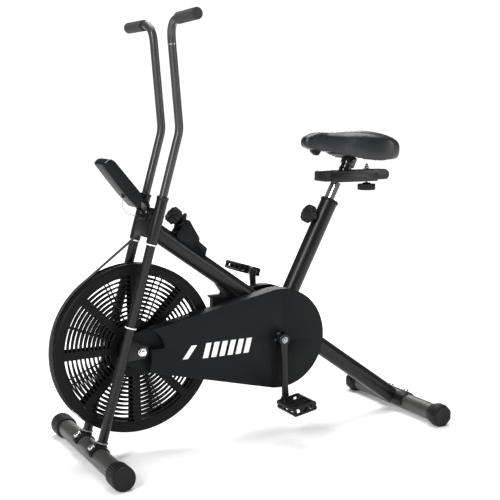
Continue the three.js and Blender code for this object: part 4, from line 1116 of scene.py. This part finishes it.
rotor = Build().turned([
    (6.5, -41), (11.8, -41), (12.4, -40), (12.4, -18.2), (38, -18.2), (40, -16.5), (40, 16.5), (38, 18.2),
    (6.5, 18.2), (6.5, -41),
], WHEEL_AT, Y_AXIS, 48)
for number in range(8):
    rotor.box((38, RIM_INNER - 2), (-17.5, 17.5), (-1.3, 1.3), wheel_place(number * math.pi / 4))
piece("wheel_blades", rotor, FAN, ["fan_rotor"], body="fan_wheel", bevel=0.3, steps=1)

sprocket = Build().prism(toothed(WHEEL, 16, 29.0, 28.4, 25.4), *CHAIN_PLANE)
sprocket = piece("drive_sprocket", sprocket, STEEL, ["sprocket"], body="fan_wheel")
subtract(sprocket, Build().turned(rod(12.6, -50, -20), WHEEL_AT, Y_AXIS, 32))

axle = Build().turned([(0, -75), (5.2, -75), (6, -74), (6, 74), (5.2, 75), (0, 75)], WHEEL_AT, Y_AXIS, 28)
for _, s in SIDES:
    axle.turned(pipe(6.1, 11.6, 61.2, 62.8), WHEEL_AT, Y_AXIS * s, 36)
    nut = [(6.1, 62.9), (10.6, 62.9), (10.6, 69.6), (9.4, 71), (6.1, 71), (6.1, 62.9)]
    axle.turned(nut, WHEEL_AT, Y_AXIS * s, 6)
piece("wheel_axle", axle, CHROME, ["axle"], bevel=0.3)

# ---- chain and covers
def two_circles(front, rear, step=3):
    run = CRANK[0] - WHEEL[0]
    rise = CRANK[1] - WHEEL[1]
    heading = math.degrees(math.atan2(rise, run))
    lean = math.degrees(math.acos((front - rear) / math.hypot(run, rise)))
    return (arc(*WHEEL, front, heading + lean, heading + 360 - lean, step)
            + arc(*CRANK, rear, heading - lean, heading + lean, step))


def resample(points, count):
    """Evenly spaced points and headings round a closed outline."""
    lengths = [math.dist(a, b) for a, b in zip(points, points[1:] + points[:1])]
    total = sum(lengths)
    result, at, walked = [], 0, 0.0
    for i in range(count):
        goal = total * i / count
        while walked + lengths[at] < goal:
            walked += lengths[at]
            at += 1
        a, b = points[at], points[(at + 1) % len(points)]
        t = (goal - walked) / lengths[at]
        dx, dz = b[0] - a[0], b[1] - a[1]
        result.append(((a[0] + dx * t, a[1] + dz * t), math.atan2(dz, dx)))
    return result


link_plate = [
    (5.6, 0), (4.6, 2.4), (0, 1.9), (-4.6, 2.4), (-5.6, 0), (-4.6, -2.4), (0, -1.9), (4.6, -2.4),
]
links = Build()
count = 104
stations = resample(two_circles(29.4 + 3.7, 85.6 + 3.7, 4), count)
for number, ((x, z), heading) in enumerate(stations):
    c, d = math.cos(heading), math.sin(heading)

    def link_place(u, w, v, x=x, z=z, c=c, d=d):
        return spot(x + u * c - v * d, w, z + u * d + v * c)

    outer = number % 2 == 0
    for y in ((-37.4, -36.5), (-32.5, -31.6)) if outer else ((-36.4, -35.6), (-33.4, -32.6)):
        links.prism([(u * 1.35, v * 1.15) for u, v in link_plate], y[0], y[1], link_place)
    links.turned(rod(2.6, -2.8, 2.8), link_place(4.6, -34.5, 0), Y_AXIS, 10)
piece("roller_chain", links, STEEL, ["chain"], sharp=30)

COVER_FACE, COVER_NOSE, COVER_BACK = -70, -43, -26
outline = two_circles(51, 142.5)
cover = piece("chain_cover", Build().prism(outline, COVER_FACE, COVER_BACK), PLASTIC, ["cover_left"])
scoop = arc(*WHEEL, 62, 4.6, 285, 3)
scoop += [(WHEEL[0] + 24, WHEEL[1] - 30), (WHEEL[0] + 24, WHEEL[1] + 5)]
subtract(cover, Build().prism(scoop, -100, COVER_NOSE))
soften(cover, 5.0, 4)
inner = two_circles(48.5, 140)
subtract(
    cover,
    Build().prism(inner, COVER_NOSE + 2.5, COVER_BACK + 5),
    Build().turned([(0, -90), (25, -90), (19, COVER_FACE + 1.5), (15, -10), (0, -10)],
                   CRANK_AT, Y_AXIS, 48),
    Build().turned(rod(14, -90, -10), WHEEL_AT, Y_AXIS, 48),
)
soften(cover, 0.4, 1)

RIDGE_RADIUS = 60
ridge = [
    (RIDGE_RADIUS - 1.5, COVER_FACE + 0.3), (RIDGE_RADIUS - 1.1, COVER_FACE - 0.3),
    (RIDGE_RADIUS + 1.1, COVER_FACE - 0.3), (RIDGE_RADIUS + 1.5, COVER_FACE + 0.3),
    (RIDGE_RADIUS - 1.5, COVER_FACE + 0.3),
]
piece("cover_ridges", Build().turned(ridge, CRANK_AT, Y_AXIS, 96), PLASTIC, sharp=30)

# A plain row of slanted bars is printed on the cover.
bars = Build()
for number in range(6):
    left = 300 + number * 25
    slanted = [(left, 258), (left + 16, 258), (left + 27, 299), (left + 11, 299)]
    bars.prism(slanted, COVER_FACE - 0.25, COVER_FACE + 0.2)
chevron = [(240, 262), (256, 262), (283, 297), (267, 297)]
bars.prism(chevron, COVER_FACE - 0.25, COVER_FACE + 0.2)
piece("cover_stripes", bars, DECAL, sharp=30)

back = Build().prism(two_circles(48, 139.5), COVER_BACK - 2.2, COVER_BACK)
back = piece("cover_back_plate", back, PLASTIC, ["cover_back"])
subtract(
    back,
    Build().turned(rod(23, -90, -10), CRANK_AT, Y_AXIS, 48),
    Build().turned(rod(16, -90, -10), WHEEL_AT, Y_AXIS, 48),
)

right_profile = [
    (15, 60), (60, 60), (61, 60.0), (134, 60), (138, 58.6), (140, 55), (140, 26), (137.5, 26), (137.5, 55),
    (134, 57.5), (30, 57.5), (30, 26), (15, 26), (15, 60),
]
piece("round_cover", Build().turned(right_profile, CRANK_AT, Y_AXIS, 128), PLASTIC, ["cover_right"], sharp=30)

# ---- brake strap and tension unit
STRAP_RADIUS = 230
strap_top = (146, 597)
strap_end = (360, 408)


def tangent_angle(point, turn):
    dx, dz = point[0] - WHEEL[0], point[1] - WHEEL[1]
    return math.atan2(dz, dx) + turn * math.acos(STRAP_RADIUS / math.hypot(dx, dz))


rear_angle = math.degrees(tangent_angle(strap_end, -1))
front_angle = math.degrees(tangent_angle(strap_top, 1)) - 360


def strap_line(shift):
    def moved(point, angle):
        a = math.radians(angle)
        return (point[0] + shift * math.cos(a), point[1] + shift * math.sin(a))

    round_wheel = arc(*WHEEL, STRAP_RADIUS + shift, rear_angle, front_angle, 2.5)
    return [moved(strap_end, rear_angle), *round_wheel, moved(strap_top, front_angle)]


strap = Build().prism(strap_line(0.0) + strap_line(1.6)[::-1], -8, 8)
piece("friction_strap", strap, STRAP, ["brake_strap"], sharp=30)

holder = [
    (352, 409.5), (363, 409.5), (363, 403), (404, 400), (452, 391), (475, 395), (440, 428), (402, 446),
    (374, 456), (371, 449), (391, 420), (385, 417), (352, 417),
]
holder_piece = piece("strap_anchor", Build().prism(holder, -9, 9), FRAME_PAINT, ["strap_bracket"], bevel=1.5)
subtract(holder_piece, beam_cut)

web = [(362, 404.5), (404, 401), (452, 392), (440, 360), (380, 372), (364, 382)]
piece("strap_web", Build().prism(web, -7, 7), FRAME_PAINT, bevel=1.2)

TENSION_SEAT = Vector((269, 0, 626))
TENSION_AXIS = Vector((-0.75, 0, 0.66)).normalized()
housing = [
    (246, 570), (249, 595), (257, 606), (280, 633), (289, 629), (295, 617), (306, 599), (317, 580.5),
    (316, 575), (316, 571), (338, 552.5), (339, 548), (330, 515),
]
unit = Build().prism(housing, -23, 23)
unit_piece = piece("tension_case", unit, PLASTIC, ["tension_housing"], bevel=2.4, steps=3)
subtract(unit_piece, beam_cut)
plate_turn = Y_AXIS.rotation_difference(TENSION_AXIS)


def tension_place(u, w, v):
    """A point in the tension unit's own frame: w runs along the knob's axis."""
    return spot_of(TENSION_SEAT + plate_turn @ Vector((u, w, v)))


seat = Build().box((-20.9, 20.9), (-4, 4), (-20, 20), tension_place)
seat.turned(rod(14, -22, 0), spot_of(TENSION_SEAT), TENSION_AXIS, 36)
seat_piece = piece("tension_plate", seat, PLASTIC, bevel=1.5)
subtract(seat_piece, Build().turned(rod(4.3, -12, 20), spot_of(TENSION_SEAT), TENSION_AXIS, 24))
piece("tension_hand_knob",
      knob_build(spot_of(TENSION_SEAT + TENSION_AXIS * 5.5), TENSION_AXIS, 23, 8, 3.4, 8, 33, 14, 4),
      CAP, ["tension_knob"], body="tension_knob", sharp=50)
